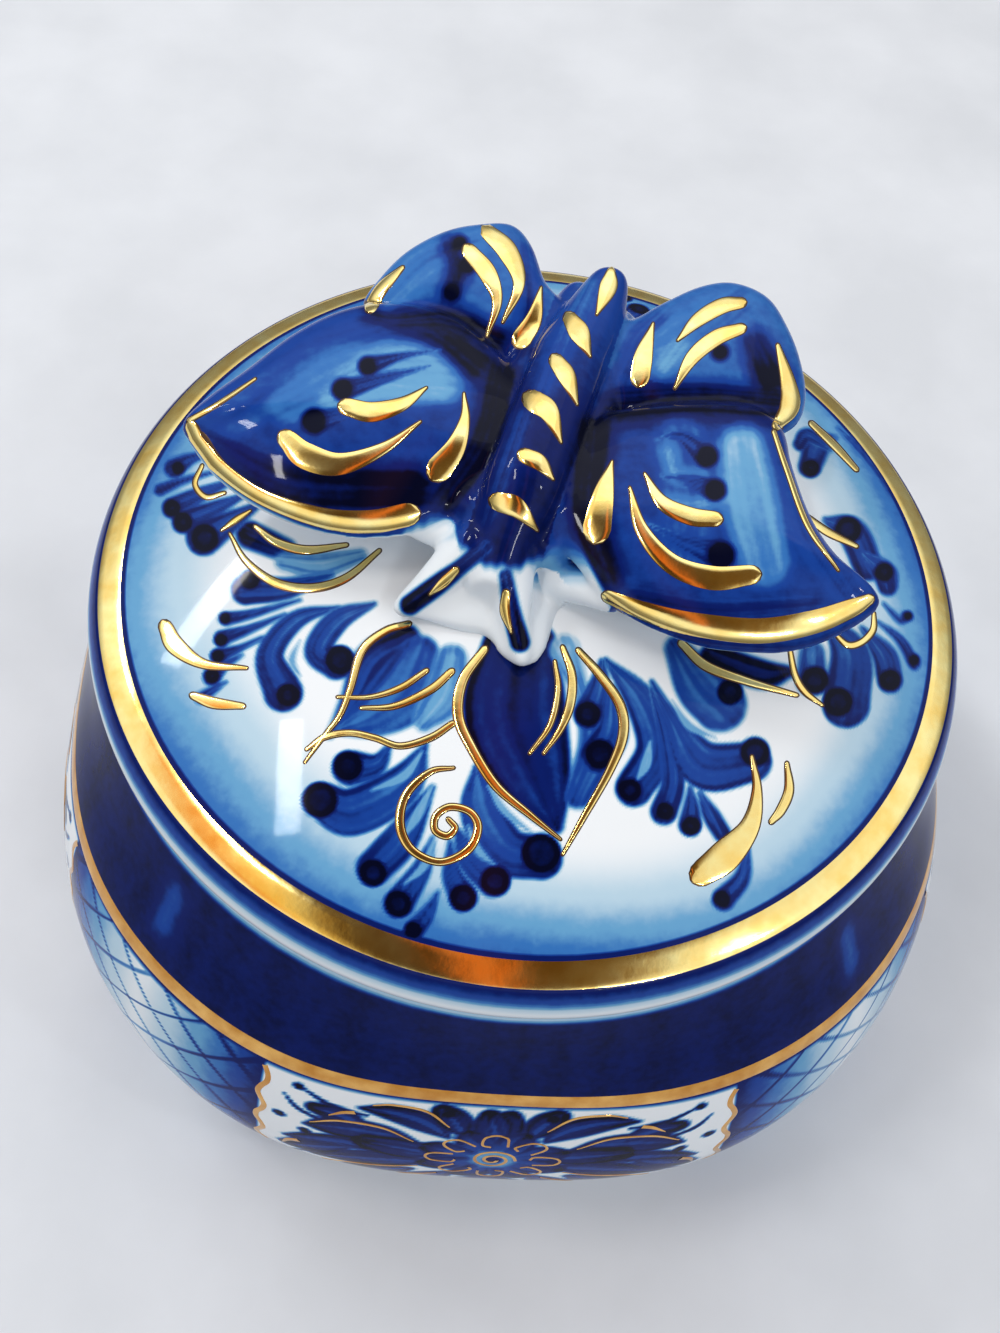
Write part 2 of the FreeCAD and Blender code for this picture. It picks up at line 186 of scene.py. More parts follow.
def ring_mesh(name, rings):
    """A closed skin through rings of points, in millimetres, capped at its first and last ring."""
    rows, columns = rings.shape[:2]
    low = np.arange(columns)
    high = (low + 1) % columns
    base = np.arange(rows - 1)[:, None] * columns
    quads = np.stack((base + low, base + high, base + columns + high, base + columns + low), axis=-1)
    caps = [list(range(columns))[::-1], list(range((rows - 1) * columns, rows * columns))]
    return smooth_piece(name, rings.reshape(-1, 3), quads.reshape(-1, 4).tolist() + caps)


def note_on(piece, name, values):
    """A number kept at each point of a mesh, for its material to read."""
    noted = piece.data.attributes.new(name, "FLOAT", "POINT")
    noted.data.foreach_set("value", values.ravel().astype(np.float32))


bowl_angles = 2 * np.pi * np.arange(BOWL_COLUMNS) / BOWL_COLUMNS
outer_heights = np.arange(FOOT_HEIGHT, RIM_HEIGHT - RIM_BEVEL, BOWL_ROW)
inner_heights = np.arange(FLOOR, RIM_HEIGHT - LIP_DEPTH, INNER_ROW)
lip_angles = np.linspace(0, np.pi / 2, 5)
lip_height = RIM_HEIGHT - RIM_BEVEL
mouth_radius = RIM_RADIUS - RIM_WIDTH
foot_half, foot_corner = BOWL_STATIONS[0][1:]
# height, half width and corner of each ring, from the middle of the underside round to the inside floor
bowl_rings = [(FOOT_RECESS, AXIS_GAP, 0.0)]
bowl_rings += [(z, foot_half - FOOT_WIDTH + step, foot_corner) for z, step in FOOT_INSIDE_EDGE]
bowl_rings += [(z, foot_half - step, foot_corner) for z, step in FOOT_OUTSIDE_EDGE]
outer_first = len(bowl_rings)
bowl_rings += [(z, float(bowl_half_width(z)), float(bowl_corner(z))) for z in outer_heights]
for lip_middle, lean in ((RIM_RADIUS - RIM_BEVEL, 0.0), (mouth_radius + RIM_BEVEL, np.pi / 2)):
    bowl_rings += [(lip_height + RIM_BEVEL * math.sin(a), lip_middle + RIM_BEVEL * math.cos(a), 0.0)
                   for a in lean + lip_angles]
bowl_rings.append(INSIDE_STATIONS[-1])
bowl_rings += [(z, float(inside_half_width(z)), float(inside_corner(z))) for z in inner_heights[::-1]]
bowl_rings += [(FLOOR, 40.0, 2.0), (FLOOR, AXIS_GAP, 0.0)]
ring_height, ring_half, ring_corner = np.array(bowl_rings).T[:, :, None]
bowl_grid = at_reach(bowl_reach(bowl_angles, ring_half, ring_corner), bowl_angles, ring_height)
bowl = ring_mesh("porcelain_bowl", bowl_grid)


def eased(value, start, end):
    """0 before start, 1 after end and a smooth rise between them."""
    t = np.clip((value - start) / (end - start), 0, 1)
    return t * t * (3 - 2 * t)


def mixed(base, over, share):
    """base where the share is 0, over where it is 1."""
    return base * (1 - share) + over * share


def smooth_span(p0, p1, p2, p3, t):
    """The stretch of a smooth curve from p1 to p2, between their neighbours."""
    return 0.5 * (2 * p1 + (p2 - p0) * t + (2 * p0 - 5 * p1 + 4 * p2 - p3) * t ** 2
                  + (3 * p1 - p0 - 3 * p2 + p3) * t ** 3)


def brush_path(points, per_span=8):
    """A smooth path through brush points, each with its half width."""
    points = np.array(points, float)
    if len(points) == 1:
        return np.repeat(points, 2, axis=0)
    ends = np.vstack((2 * points[0] - points[1], points, 2 * points[-1] - points[-2]))
    path = [smooth_span(*ends[k - 1:k + 3], t)
            for k in range(1, len(ends) - 2) for t in np.arange(per_span) / per_span]
    path = np.array(path + [points[-1]])
    path[:, 2] = np.maximum(path[:, 2], 0.0)
    return path


def paint(pigment, u, v, points, tail, head, soft, streak=0.05):
    """One brush stroke over places (u, v): the pigment runs from tail to head along the points."""
    path = brush_path(points)
    room = path[:, 2].max() + 2 * soft
    low = path[:, :2].min(axis=0) - room
    high = path[:, :2].max(axis=0) + room
    near = np.where((u > low[0]) & (u < high[0]) & (v > low[1]) & (v < high[1]))[0]
    if not len(near):
        return
    x = u[near]
    y = v[near]
    best = np.full(len(near), 1e9)
    along = np.zeros(len(near))
    side = np.zeros(len(near))
    spans = len(path) - 1
    for k in range(spans):
        start, step = path[k], path[k + 1] - path[k]
        length = step[0] ** 2 + step[1] ** 2 + 1e-9
        t = np.clip(((x - start[0]) * step[0] + (y - start[1]) * step[1]) / length, 0, 1)
        off_x = x - start[0] - t * step[0]
        off_y = y - start[1] - t * step[1]
        width = start[2] + t * step[2]
        gap = np.hypot(off_x, off_y) - width
        closer = gap < best
        best[closer] = gap[closer]
        along[closer] = ((k + t) / spans)[closer]
        side[closer] = ((off_x * step[1] - off_y * step[0]) / math.sqrt(length) / (width + 1e-6))[closer]
    cover = eased(-best, -soft, soft)
    phase = points[0][0] * 0.7 + points[0][1] * 0.3
    hairs = streak * (np.sin(side * 6 + phase) + 0.6 * np.sin(side * 15 + 2 * phase))
    pooled = 0.10 * np.exp(-((best + 1.5 * soft) / (1.2 * soft)) ** 2)
    value = tail + (head - tail) * along + hairs + pooled
    pigment[near] = mixed(pigment[near], value, cover)


def mirrored(strokes):
    """Brush points and their mirror images across the panel."""
    return strokes + [[(-u, v, w) for u, v, w in points] for points in strokes]


# Panel flowers, in millimetres across the panel and up: leaves, petals, then thin tendrils
PANEL_MIDDLE = 29.5
PANEL_LEAVES = mirrored([
    [(9, 3, 0.6), (14, 5, 2.4), (19, 4.5, 2.6), (23, 3, 0.4)],
    [(8, -2, 0.8), (13, -3, 2.8), (18, -5, 2.4), (22, -8, 0.4)],
    [(6, 6, 0.6), (9, 9, 2.2), (13, 10.5, 1.8), (17, 10.5, 0.3)],
    [(5, -6, 0.8), (8, -10, 2.6), (11, -14, 2.0), (13, -18, 0.3)],
    [(14, 0, 0.5), (18, 0.4, 1.8), (22, -1, 1.6), (25.5, -3, 0.3)],
    [(0.5, -8, 1.0), (2.5, -12, 2.4), (3.2, -16, 1.8), (3, -19, 0.3)],
    [(12, -6, 0.4), (16, -9, 1.8), (19, -13, 0.3)],
    [(7, 1, 1.0), (11, 1.5, 3.0), (15, 2, 2.4)],
    [(4, 7, 0.8), (5.5, 10, 2.4), (7, 12, 1.6)],
    [(16, 6, 0.8), (19, 7.6, 2.2), (22, 8, 1.4)],
    [(18, -1, 0.8), (22, -4, 2.4), (25, -6.5, 1.4)],
    [(10, -6, 0.8), (13.5, -9, 2.6), (16, -13, 1.6)],
    [(0, 6, 1.0), (0.6, 9, 2.6), (1.2, 11.5, 1.6)],
])
PANEL_TENDRILS = mirrored([
    [(16, 9, 0.3), (20, 9.5, 0.45), (24, 11.5, 0.2)],
    [(20, 5, 0.3), (24, 6.5, 0.4), (26, 9, 0.15)],
    [(21, -6, 0.3), (24, -9, 0.4), (25.5, -13, 0.15)],
])
PANEL_DOTS = mirrored([[(24.5, 11.6, 0.7)], [(26.3, 3.4, 0.8)], [(19.5, -13.6, 0.8)], [(6.4, 11.4, 0.8)],
                       [(13.6, -18.4, 0.8)], [(23, 0.9, 0.8)]])
ROSE_PETALS = 8
ROSE_RADIUS = 6.2
ROSE_SQUASH = 0.85

grid_angle = np.broadcast_to(bowl_angles, bowl_grid.shape[:2]).ravel()
grid_height = bowl_grid[:, :, 2].ravel()
ring_numbers = np.repeat(np.arange(len(bowl_rings)), BOWL_COLUMNS)
outer_last = outer_first + len(outer_heights) + len(lip_angles)
outside = (ring_numbers >= outer_first) & (ring_numbers < outer_last)
from_flat = (grid_angle + np.pi / 4) % (np.pi / 2) - np.pi / 4
to_corner = np.pi / 4 - np.abs(from_flat)
panel_u = from_flat * PANEL_RADIUS
panel_v = grid_height - PANEL_MIDDLE
unrolled = grid_angle * PANEL_RADIUS

BARE = 0.03
bowl_pigment = np.full(grid_angle.shape, BARE)
in_corner = np.abs(from_flat) > PANEL_HALF_ANGLE
corner_share = np.clip(to_corner / (np.pi / 4 - PANEL_HALF_ANGLE), 0, 1)
corner_wash = 0.05 + 0.82 * corner_share ** 1.4
NET_STEP = 8.5
net_one = np.abs((unrolled + 1.15 * grid_height) / NET_STEP % 1 - 0.5) * NET_STEP
net_two = np.abs((unrolled - 1.15 * grid_height) / NET_STEP % 1 - 0.5) * NET_STEP
net_width = 0.22 + 0.75 * corner_share ** 2
net_line = 1 - eased(np.minimum(net_one, net_two), net_width - 0.25, net_width + 0.3)
corner_pigment = np.maximum(corner_wash, 0.85 * net_line)
bowl_pigment = np.where(in_corner, corner_pigment, bowl_pigment)

FLOWER_SOFT = 0.35
FINE_SOFT = 0.25
flower = np.full(grid_angle.shape, BARE)
for points in PANEL_LEAVES:
    paint(flower, panel_u, panel_v, points, 0.74, 0.94, FLOWER_SOFT)
    vein = [(u, v, 0.0 if k in (0, len(points) - 1) else 0.32) for k, (u, v, w) in enumerate(points)]
    paint(flower, panel_u, panel_v, vein, 0.58, 0.68, FINE_SOFT, streak=0.0)
for points in PANEL_TENDRILS:
    paint(flower, panel_u, panel_v, points, 0.8, 0.9, 0.2, streak=0.0)
for step in range(ROSE_PETALS):
    lean = 2 * math.pi * (step + 0.5) / ROSE_PETALS
    ahead = (math.cos(lean), ROSE_SQUASH * math.sin(lean))
    petal = [(ahead[0] * r, ahead[1] * r, w) for r, w in ((2.0, 1.2), (ROSE_RADIUS, 2.6), (8.4, 1.6))]
    paint(flower, panel_u, panel_v, petal, 0.62, 0.90, FLOWER_SOFT)
paint(flower, panel_u, panel_v, [(0, 0, 2.6)], 0.28, 0.28, 0.8)
paint(flower, panel_u, panel_v, [(0, 0, 1.2)], 0.8, 0.8, 0.4)
for points in PANEL_DOTS:
    paint(flower, panel_u, panel_v, points, 0.95, 0.95, FINE_SOFT, streak=0.0)
bowl_pigment = np.where(in_corner, bowl_pigment, flower)

bowl_pigment = mixed(BARE, bowl_pigment, eased(grid_height, 5.0, 10.0))
below_band = 1 - eased(BAND_LOW - grid_height, 0.0, 0.8)
bowl_pigment = np.maximum(bowl_pigment, 0.8 * below_band)
# the shoulder's wash is thin where it runs off the ridges that lead to the corners
ridge = np.exp(-(to_corner / math.radians(1.6)) ** 2)
ridge *= eased(grid_height, 47.0, 51.0) * eased(-grid_height, -59, -55)
shoulder = 0.90 - 0.26 * ridge + 0.012 * np.sin(unrolled * 0.9 + 3 * np.sin(unrolled * 0.13))
bowl_pigment = np.where(grid_height > BAND_LOW, shoulder, bowl_pigment)
bowl_pigment = mixed(bowl_pigment, 0.22, eased(grid_height, 59.4, 60.6))
bowl_pigment = np.where(outside, bowl_pigment, BARE)
note_on(bowl, "pigment", bowl_pigment)
bare_foot = np.where(grid_height < 0.5, 1.0, 0.0) * (ring_numbers < outer_first)
note_on(bowl, "bare", bare_foot)


def linear(red, green, blue):
    """A display colour of 0 to 255 as the light values that materials use."""
    share = np.array((red, green, blue)) / 255
    light = np.where(share <= 0.04045, share / 12.92, ((share + 0.055) / 1.055) ** 2.4)
    return (*light.tolist(), 1.0)


def feed_in(tree, made, feed):
    """Gives a node its inputs, as plain values or from other nodes' outputs."""
    for name, value in feed.items():
        if isinstance(value, bpy.types.NodeSocket):
            tree.links.new(value, made.inputs[name])
        else:
            made.inputs[name].default_value = value


def node(tree, kind, feed=None, **settings):
    """A shader node with its settings and inputs."""
    made = tree.nodes.new(kind)
    for name, value in settings.items():
        setattr(made, name, value)
    feed_in(tree, made, feed or {})
    return made


def noise(tree, scale, detail=2):
    """Soft noise that stays with the piece."""
    place = node(tree, "ShaderNodeTexCoord").outputs["Object"]
    feed = {"Vector": place, "Scale": scale, "Detail": detail}
    return node(tree, "ShaderNodeTexNoise", feed).outputs["Fac"]


def spread(tree, value, start, end, low=0.0, high=1.0):
    """A value that runs from start to end, made to run from low to high."""
    feed = {"Value": value, "From Min": start, "From Max": end, "To Min": low, "To Max": high}
    return node(tree, "ShaderNodeMapRange", feed).outputs["Result"]


def reckon(tree, operation, *values):
    """The result of a sum over values."""
    return node(tree, "ShaderNodeMath", dict(enumerate(values)), operation=operation).outputs[0]


def ramp(tree, steps, share, run="LINEAR"):
    """The colour at a share of the way along steps of stop and colour."""
    made = node(tree, "ShaderNodeValToRGB", {"Fac": share})
    made.color_ramp.interpolation = run
    elements = made.color_ramp.elements
    for k, (stop, colour) in enumerate(steps):
        element = elements[k] if k < 2 else elements.new(stop)
        element.position = stop
    for element, (stop, colour) in zip(elements, steps):
        element.color = colour
    return made.outputs["Color"]


def bumped(tree, height, strength, depth):
    """Directions of a surface that height makes uneven."""
    feed = {"Height": height, "Strength": strength, "Distance": depth}
    return node(tree, "ShaderNodeBump", feed).outputs["Normal"]


def new_material(name):
    """A material with its node tree and its shader."""
    material = bpy.data.materials.new(name)
    material.use_nodes = True
    return material, material.node_tree, material.node_tree.nodes["Principled BSDF"]


# How cobalt looks under the glaze, from bare white porcelain to a thick pool of pigment
COBALT_STEPS = [(0.00, (237, 242, 247)), (0.18, (180, 209, 228)), (0.36, (100, 160, 205)),
                (0.52, (52, 112, 184)), (0.68, (23, 64, 150)), (0.84, (10, 28, 98)), (1.00, (5, 8, 32))]
CLOUD_SCALE = 420
GRAIN_SCALE = 900
WAVE_SCALE = 70
CLOUDINESS = 0.09


def cobalt_group():
    """Cobalt under clear glaze: brush cloudiness, the colour of the pigment and the glaze's soft waves."""
    tree = bpy.data.node_groups.new("cobalt_under_glaze", "ShaderNodeTree")
    tree.interface.new_socket("Pigment", in_out="INPUT", socket_type="NodeSocketFloat")
    for name, kind in (("Color", "Color"), ("Roughness", "Float"), ("Height", "Float")):
        tree.interface.new_socket(name, in_out="OUTPUT", socket_type="NodeSocket" + kind)
    pigment = node(tree, "NodeGroupInput").outputs["Pigment"]
    cloud = noise(tree, CLOUD_SCALE, detail=5)
    both = reckon(tree, "ADD", cloud, noise(tree, GRAIN_SCALE))
    # cloudiness is strongest in the middle tones and leaves bare porcelain clean
    cloudy = spread(tree, pigment, 0.05, 0.45, 0.0, CLOUDINESS)
    clouded = reckon(tree, "MULTIPLY_ADD", reckon(tree, "SUBTRACT", both, 1.0), cloudy, pigment)
    node(tree, "NodeGroupOutput", {
        "Color": ramp(tree, [(stop, linear(*colour)) for stop, colour in COBALT_STEPS], clouded, "EASE"),
        "Roughness": spread(tree, cloud, 0.0, 1.0, 0.03, 0.07),
        "Height": noise(tree, WAVE_SCALE)})
    return tree


cobalt = cobalt_group()
GLAZE_INDEX = 1.5
GLAZE_SHINE = 0.11
BOWL_SHINE = 0.03
GLAZE_WAVE = 0.00012


def glazed(name, shine=GLAZE_SHINE):
    """Glazed porcelain whose pigment comes from the piece's own painting; returns what is added to it."""
    material, tree, shader = new_material(name)
    pigment = node(tree, "ShaderNodeAttribute", attribute_name="pigment").outputs["Fac"]
    look = node(tree, "ShaderNodeGroup", {"Pigment": pigment}, node_tree=cobalt).outputs
    feed_in(tree, shader, {
        "IOR": GLAZE_INDEX,
        "Specular IOR Level": shine,
        "Base Color": look["Color"],
        "Roughness": look["Roughness"],
        "Normal": bumped(tree, look["Height"], 0.25, GLAZE_WAVE)})
    return material, tree, shader, look


bowl_material, tree, shader, look = glazed("bowl_glaze", BOWL_SHINE)
bare = node(tree, "ShaderNodeAttribute", attribute_name="bare").outputs["Fac"]
feed_in(tree, shader, {"Roughness": reckon(tree, "MAXIMUM", look["Roughness"], bare)})
bowl.data.materials.append(bowl_material)
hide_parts("bowl")
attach(bowl, "bowl")

# Gold of the bowl: bright gold brushed over the fired glaze and fired again, a thin film a little proud.
# One band runs round under the shoulder, wavy lines edge the panels and fine scrolls line the flowers.

FILM = 0.06
FILM_SINK = 0.04
GOLD_WAVE = 0.0001


def gold_material(name, thick, thin):
    """Burnished bright gold, a little uneven where the brush left more or less of it."""
    material, tree, shader = new_material(name)
    uneven = noise(tree, 300, detail=4)
    feed_in(tree, shader, {
        "Metallic": 1.0,
        "Base Color": ramp(tree, [(0.3, linear(*thick)), (0.7, linear(*thin))], uneven),
        "Roughness": spread(tree, uneven, 0.0, 1.0, 0.08, 0.18),
        "Normal": bumped(tree, uneven, 0.3, GOLD_WAVE)})
    return material


gold = gold_material("bright_gold", (252, 212, 116), (255, 238, 164))
# the bowl's gold is a darker, browner copy of the lid's: painted shade for the dark things over the front
# that it mirrors
shaded_bowl_gold = gold_material("shaded_bowl_gold", (198, 136, 58), (236, 184, 104))
CROWN = np.array((0.0, 0.85, 0.97, 1.0, 0.97, 0.85, 0.0))
ACROSS = np.array((-1.0, -0.75, -0.4, 0.0, 0.4, 0.75, 1.0))


def film_rows(rows, normals, film=FILM):
    """Rows of points across a stroke, lifted into a low crowned film."""
    lift = -FILM_SINK + (film + FILM_SINK) * CROWN
    return rows + normals * lift[None, :, None]


def film_piece(name, strips, closed=False, finish=gold):
    """One object of many films; each strip is rows of points across it, in millimetres."""
    faces = []
    first = 0
    for strip in strips:
        count = len(strip)
        for k in range(count if closed else count - 1):
            here = first + len(ACROSS) * k
            there = first + len(ACROSS) * ((k + 1) % count)
            faces += [(here + j, here + j + 1, there + j + 1, there + j) for j in range(len(ACROSS) - 1)]
        first += count * len(ACROSS)
    piece = smooth_piece(name, np.concatenate([strip.reshape(-1, 3) for strip in strips]), faces)
    piece.data.materials.append(finish)
    return piece


def out_of_wall(angle, height):
    """Outward directions of the bowl's wall."""
    step = 0.01
    around = bowl_wall(angle + step, height) - bowl_wall(angle - step, height)
    upward = bowl_wall(angle, height + step) - bowl_wall(angle, height - step)
    outward = np.cross(around, upward)
    return outward / np.linalg.norm(outward, axis=-1, keepdims=True)


band_angles = np.linspace(0, 2 * np.pi, BOWL_COLUMNS, endpoint=False)
band_angle_grid = np.repeat(band_angles[:, None], len(ACROSS), axis=1)
wobble = 0.10 * np.sin(5 * band_angles) + 0.07 * np.sin(11 * band_angles + 1)
band_middle = (BAND_LOW + BAND_HIGH) / 2 + wobble
band_heights = band_middle[:, None] + (BAND_HIGH - BAND_LOW) / 2 * ACROSS[None, :]
band_rows = film_rows(bowl_wall(band_angle_grid, band_heights), out_of_wall(band_angle_grid, band_heights))
bowl_band = film_piece("bowl_gold_band", [band_rows], closed=True, finish=shaded_bowl_gold)


def stroke_sides(points):
    """A brush path with the directions ahead and aside at each of its places."""
    path = brush_path(points, per_span=10)
    ahead = np.gradient(path[:, :2], axis=0)
    ahead /= np.linalg.norm(ahead, axis=1, keepdims=True) + 1e-9
    return path, ahead, np.stack((-ahead[:, 1], ahead[:, 0]), axis=1)


def wall_stroke(points, turn_angle):
    """Film rows of a stroke drawn in millimetres on the panel facing turn_angle."""
    path, ahead, aside = stroke_sides(points)
    places = path[:, None, :2] + aside[:, None, :] * (path[:, 2:3] * ACROSS[None, :])[:, :, None]
    angle = places[:, :, 0] / PANEL_RADIUS + turn_angle
    height = places[:, :, 1] + PANEL_MIDDLE
    return film_rows(bowl_wall(angle, height), out_of_wall(angle, height))


def spiral(middle, radius, turns, start, width):
    """Points of a spiral that winds inwards."""
    points = []
    for share in np.linspace(0, 1, int(14 * turns)):
        lean = start + 2 * math.pi * turns * share
        r = radius * (1 - 0.82 * share)
        points.append((middle[0] + r * math.cos(lean), middle[1] + r * math.sin(lean), width))
    return points


PANEL_EDGE = PANEL_HALF_ANGLE * PANEL_RADIUS
panel_gold = []
for side in (-1, 1):
    panel_gold.append([(side * (PANEL_EDGE + 0.5 * math.sin(0.9 * h)), h - PANEL_MIDDLE, 0.42)
                       for h in np.arange(8.0, BAND_LOW, 1.5)])
panel_gold.append(spiral((0.0, 0.0), 2.8, 2.0, 0.0, 0.24))
# turn and distance from the flower's middle, round the loop that lines each petal
PETAL_LOOP = [(-0.3, 5.2), (-0.18, 7.6), (0.0, 8.3), (0.18, 7.6), (0.3, 5.4), (0.12, 4.6)]
for step in range(ROSE_PETALS):
    arc = [(2 * math.pi * step / ROSE_PETALS + turned, r) for turned, r in PETAL_LOOP]
    panel_gold.append([(r * math.cos(a), ROSE_SQUASH * r * math.sin(a), 0.2) for a, r in arc])
panel_gold += mirrored([
    [(10, 4, 0.1), (14, 6.6, 0.26), (19, 6.4, 0.26), (22.5, 4, 0.1)],
    [(9, -4, 0.1), (13, -6.0, 0.26), (18, -8.0, 0.26), (21, -11, 0.1)],
    [(6, 8.5, 0.1), (9, 11.6, 0.26), (13, 12.2, 0.2), (15.5, 11.5, 0.1)],
    [(6.5, -7, 0.1), (10.6, -11, 0.26), (13, -15, 0.2), (14, -18, 0.1)],
    [(23.6, -3.4, 0.5), (25.0, -4.6, 0.4), (25.8, -7, 0.08)],
    [(17.4, 9.2, 0.45), (18.8, 8.6, 0.35), (20.4, 7.2, 0.08)],
])
panel_strips = [wall_stroke(points, quarter * math.pi / 2) for quarter in range(4) for points in panel_gold]
panel_lines = film_piece("panel_gold_lines", panel_strips, finish=shaded_bowl_gold)
for piece in (bowl_band, panel_lines):
    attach(piece, "bowl")

# Lid: a turned porcelain dome with a rolled edge that rests on the rim, and a flange that drops into
# the mouth. Flower sprays and leaves are brushed in cobalt round the knob, with a soft blue wash inside
# the gold band.

SEAT = RIM_HEIGHT + 0.2
FLANGE_RADIUS = mouth_radius - 0.8
FLANGE_WALL = 3.2
FLANGE_DEPTH = 6.0
EDGE_RADIUS = RIM_RADIUS - 0.8
EDGE_HEIGHT = 6.4
EDGE_ROUND = 5.3
DOME_RISE = 9.5
DOME_WALL = 3.8
LID_COLUMNS = 960
LID_ROW = 0.28

dome_radius = (EDGE_RADIUS ** 2 + DOME_RISE ** 2) / (2 * DOME_RISE)
dome_middle = SEAT + EDGE_HEIGHT + DOME_RISE - dome_radius
vault_radius = dome_radius - DOME_WALL
flange_inner = FLANGE_RADIUS - FLANGE_WALL


def dome_height(r, radius=dome_radius):
    """Height of the dome, or of the vault under it, at a distance from the axis."""
    return dome_middle + np.sqrt(radius ** 2 - r ** 2)


seat_edge = np.array((RIM_RADIUS, SEAT))
dome_edge = np.array((EDGE_RADIUS, SEAT + EDGE_HEIGHT))
edge_chord = dome_edge - seat_edge
edge_out = np.array((edge_chord[1], -edge_chord[0])) / np.linalg.norm(edge_chord)
edge_depth = math.sqrt(EDGE_ROUND ** 2 - (np.linalg.norm(edge_chord) / 2) ** 2)
edge_middle = (seat_edge + dome_edge) / 2 - edge_out * edge_depth
edge_from = math.atan2(seat_edge[1] - edge_middle[1], seat_edge[0] - edge_middle[0])
edge_to = math.atan2(dome_edge[1] - edge_middle[1], dome_edge[0] - edge_middle[0])
corner_round = 0.5
lid_profile = [(r, float(dome_height(r, vault_radius))) for r in np.linspace(0.4, flange_inner - 0.6, 30)]
lid_profile += [(flange_inner, float(dome_height(flange_inner, vault_radius)) - 0.8),
                (flange_inner, SEAT - FLANGE_DEPTH + corner_round),
                (flange_inner + corner_round, SEAT - FLANGE_DEPTH),
                (FLANGE_RADIUS - corner_round, SEAT - FLANGE_DEPTH),
                (FLANGE_RADIUS, SEAT - FLANGE_DEPTH + corner_round),
                (FLANGE_RADIUS, SEAT - corner_round), (FLANGE_RADIUS + corner_round, SEAT),
                (RIM_RADIUS - 2 * corner_round, SEAT)]
bead = np.linspace(edge_from, edge_to, 26)
lid_profile += [tuple(edge_middle + EDGE_ROUND * np.array((math.cos(a), math.sin(a)))) for a in bead]
bead_last = len(lid_profile)
lid_profile += [(r, float(dome_height(r))) for r in np.arange(EDGE_RADIUS - LID_ROW, 0.4, -LID_ROW)]
lid_profile.append((0.3, float(dome_height(0.3))))
lid_angles = 2 * np.pi * np.arange(LID_COLUMNS) / LID_COLUMNS
profile_radius, profile_height = np.array(lid_profile).T[:, :, None]
lid_grid = at_reach(profile_radius, lid_angles, profile_height)
lid = ring_mesh("porcelain_lid", lid_grid)

# Brush strokes of the lid in picture pixels, tail first, each point with its half width.
# Washes are the broad leaves, dabs the loaded brush pressed and lifted, dots its full tip.
LID_WASHES = [
    ([(250, 535, 14), (285, 550, 12)], 0.9, 0.7),
    ([(285, 562, 10), (320, 566, 14), (360, 556, 8)], 0.34, 0.34),
    ([(405, 640, 16), (372, 660, 18), (352, 700, 12), (330, 735, 4)], 0.86, 0.6),
    ([(420, 655, 20), (405, 690, 32), (375, 715, 22), (345, 728, 8)], 0.62, 0.56),
    ([(452, 660, 16), (445, 695, 22), (425, 720, 12)], 0.40, 0.36),
    ([(520, 655, 40), (515, 715, 52), (535, 775, 36), (556, 826, 8)], 0.88, 0.80),
    ([(592, 700, 16), (598, 745, 20), (578, 795, 14)], 0.55, 0.62),
    ([(565, 650, 16), (580, 690, 9)], 0.24, 0.40),
    ([(676, 648, 12), (700, 685, 25), (720, 705, 27)], 0.62, 0.62),
    ([(712, 655, 12), (760, 674, 15), (790, 672, 6)], 0.90, 0.86),
    ([(812, 655, 14), (812, 680, 16)], 0.5, 0.7),
]
LID_DABS = [
    [(215, 452, 2), (192, 458, 6), (174, 468, 10)],
    [(222, 470, 2), (185, 480, 4), (160, 490, 6)],
    [(235, 480, 3), (200, 495, 8), (173, 508, 11)],
    [(245, 495, 3), (212, 510, 9), (184, 522, 12)],
    [(258, 505, 4), (225, 525, 13), (204, 538, 18)],
    [(332, 575, 3), (288, 588, 11), (246, 590, 15)],
    [(300, 600, 2), (252, 614, 5), (226, 619, 7)],
    [(285, 614, 2), (250, 629, 5), (222, 638, 8)],
    [(262, 638, 3), (240, 648, 4), (218, 656, 8)],
    [(242, 655, 2), (224, 665, 6), (212, 677, 9)],
    [(226, 682, 2), (210, 692, 5), (201, 698, 6)],
    [(338, 607, 2), (296, 620, 10), (270, 655, 14), (283, 692, 20)],
    [(374, 604, 3), (338, 620, 12), (318, 650, 14), (336, 664, 16)],
    [(390, 745, 3), (376, 765, 11), (350, 768, 18)],
    [(426, 745, 3), (402, 785, 20), (352, 812, 24), (322, 800, 18)],
    [(432, 788, 4), (402, 838, 18), (374, 868, 18)],
    [(433, 838, 3), (421, 870, 10), (400, 902, 15)],
    [(438, 892, 2), (427, 914, 8), (415, 929, 10)],
    [(476, 768, 4), (482, 812, 22), (506, 850, 24), (541, 858, 22)],
    [(456, 828, 3), (470, 858, 13), (494, 880, 17)],
    [(450, 842, 3), (452, 874, 10), (463, 896, 14)],
    [(602, 662, 4), (598, 692, 13), (588, 714, 15)],
    [(612, 690, 6), (613, 730, 16), (600, 754, 19)],
    [(606, 660, 3), (640, 700, 16), (656, 748, 20), (634, 788, 19)],
    [(652, 690, 3), (668, 740, 10), (673, 782, 12), (664, 811, 14)],
    [(652, 682, 3), (674, 722, 10), (704, 765, 24), (752, 762, 20)],
    [(690, 788, 3), (691, 806, 8), (690, 824, 12)],
    [(700, 793, 3), (711, 815, 9), (722, 833, 9)],
    [(748, 848, 3), (742, 878, 9), (724, 899, 12)],
    [(828, 622, 5), (850, 655, 20), (846, 704, 24)],
    [(862, 628, 3), (884, 655, 12), (890, 680, 13)],
    [(878, 622, 2), (900, 640, 5), (914, 664, 6)],
    [(884, 604, 2), (900, 620, 4), (906, 616, 5)],
    [(834, 438, 4), (818, 446, 13), (810, 466, 12)],
    [(830, 450, 2), (808, 436, 8), (800, 444, 7)],
    [(826, 520, 4), (852, 532, 15), (868, 566, 15)],
    [(866, 556, 4), (884, 572, 12), (888, 586, 10)],
    [(838, 428, 2), (868, 458, 4), (892, 494, 1)],
]
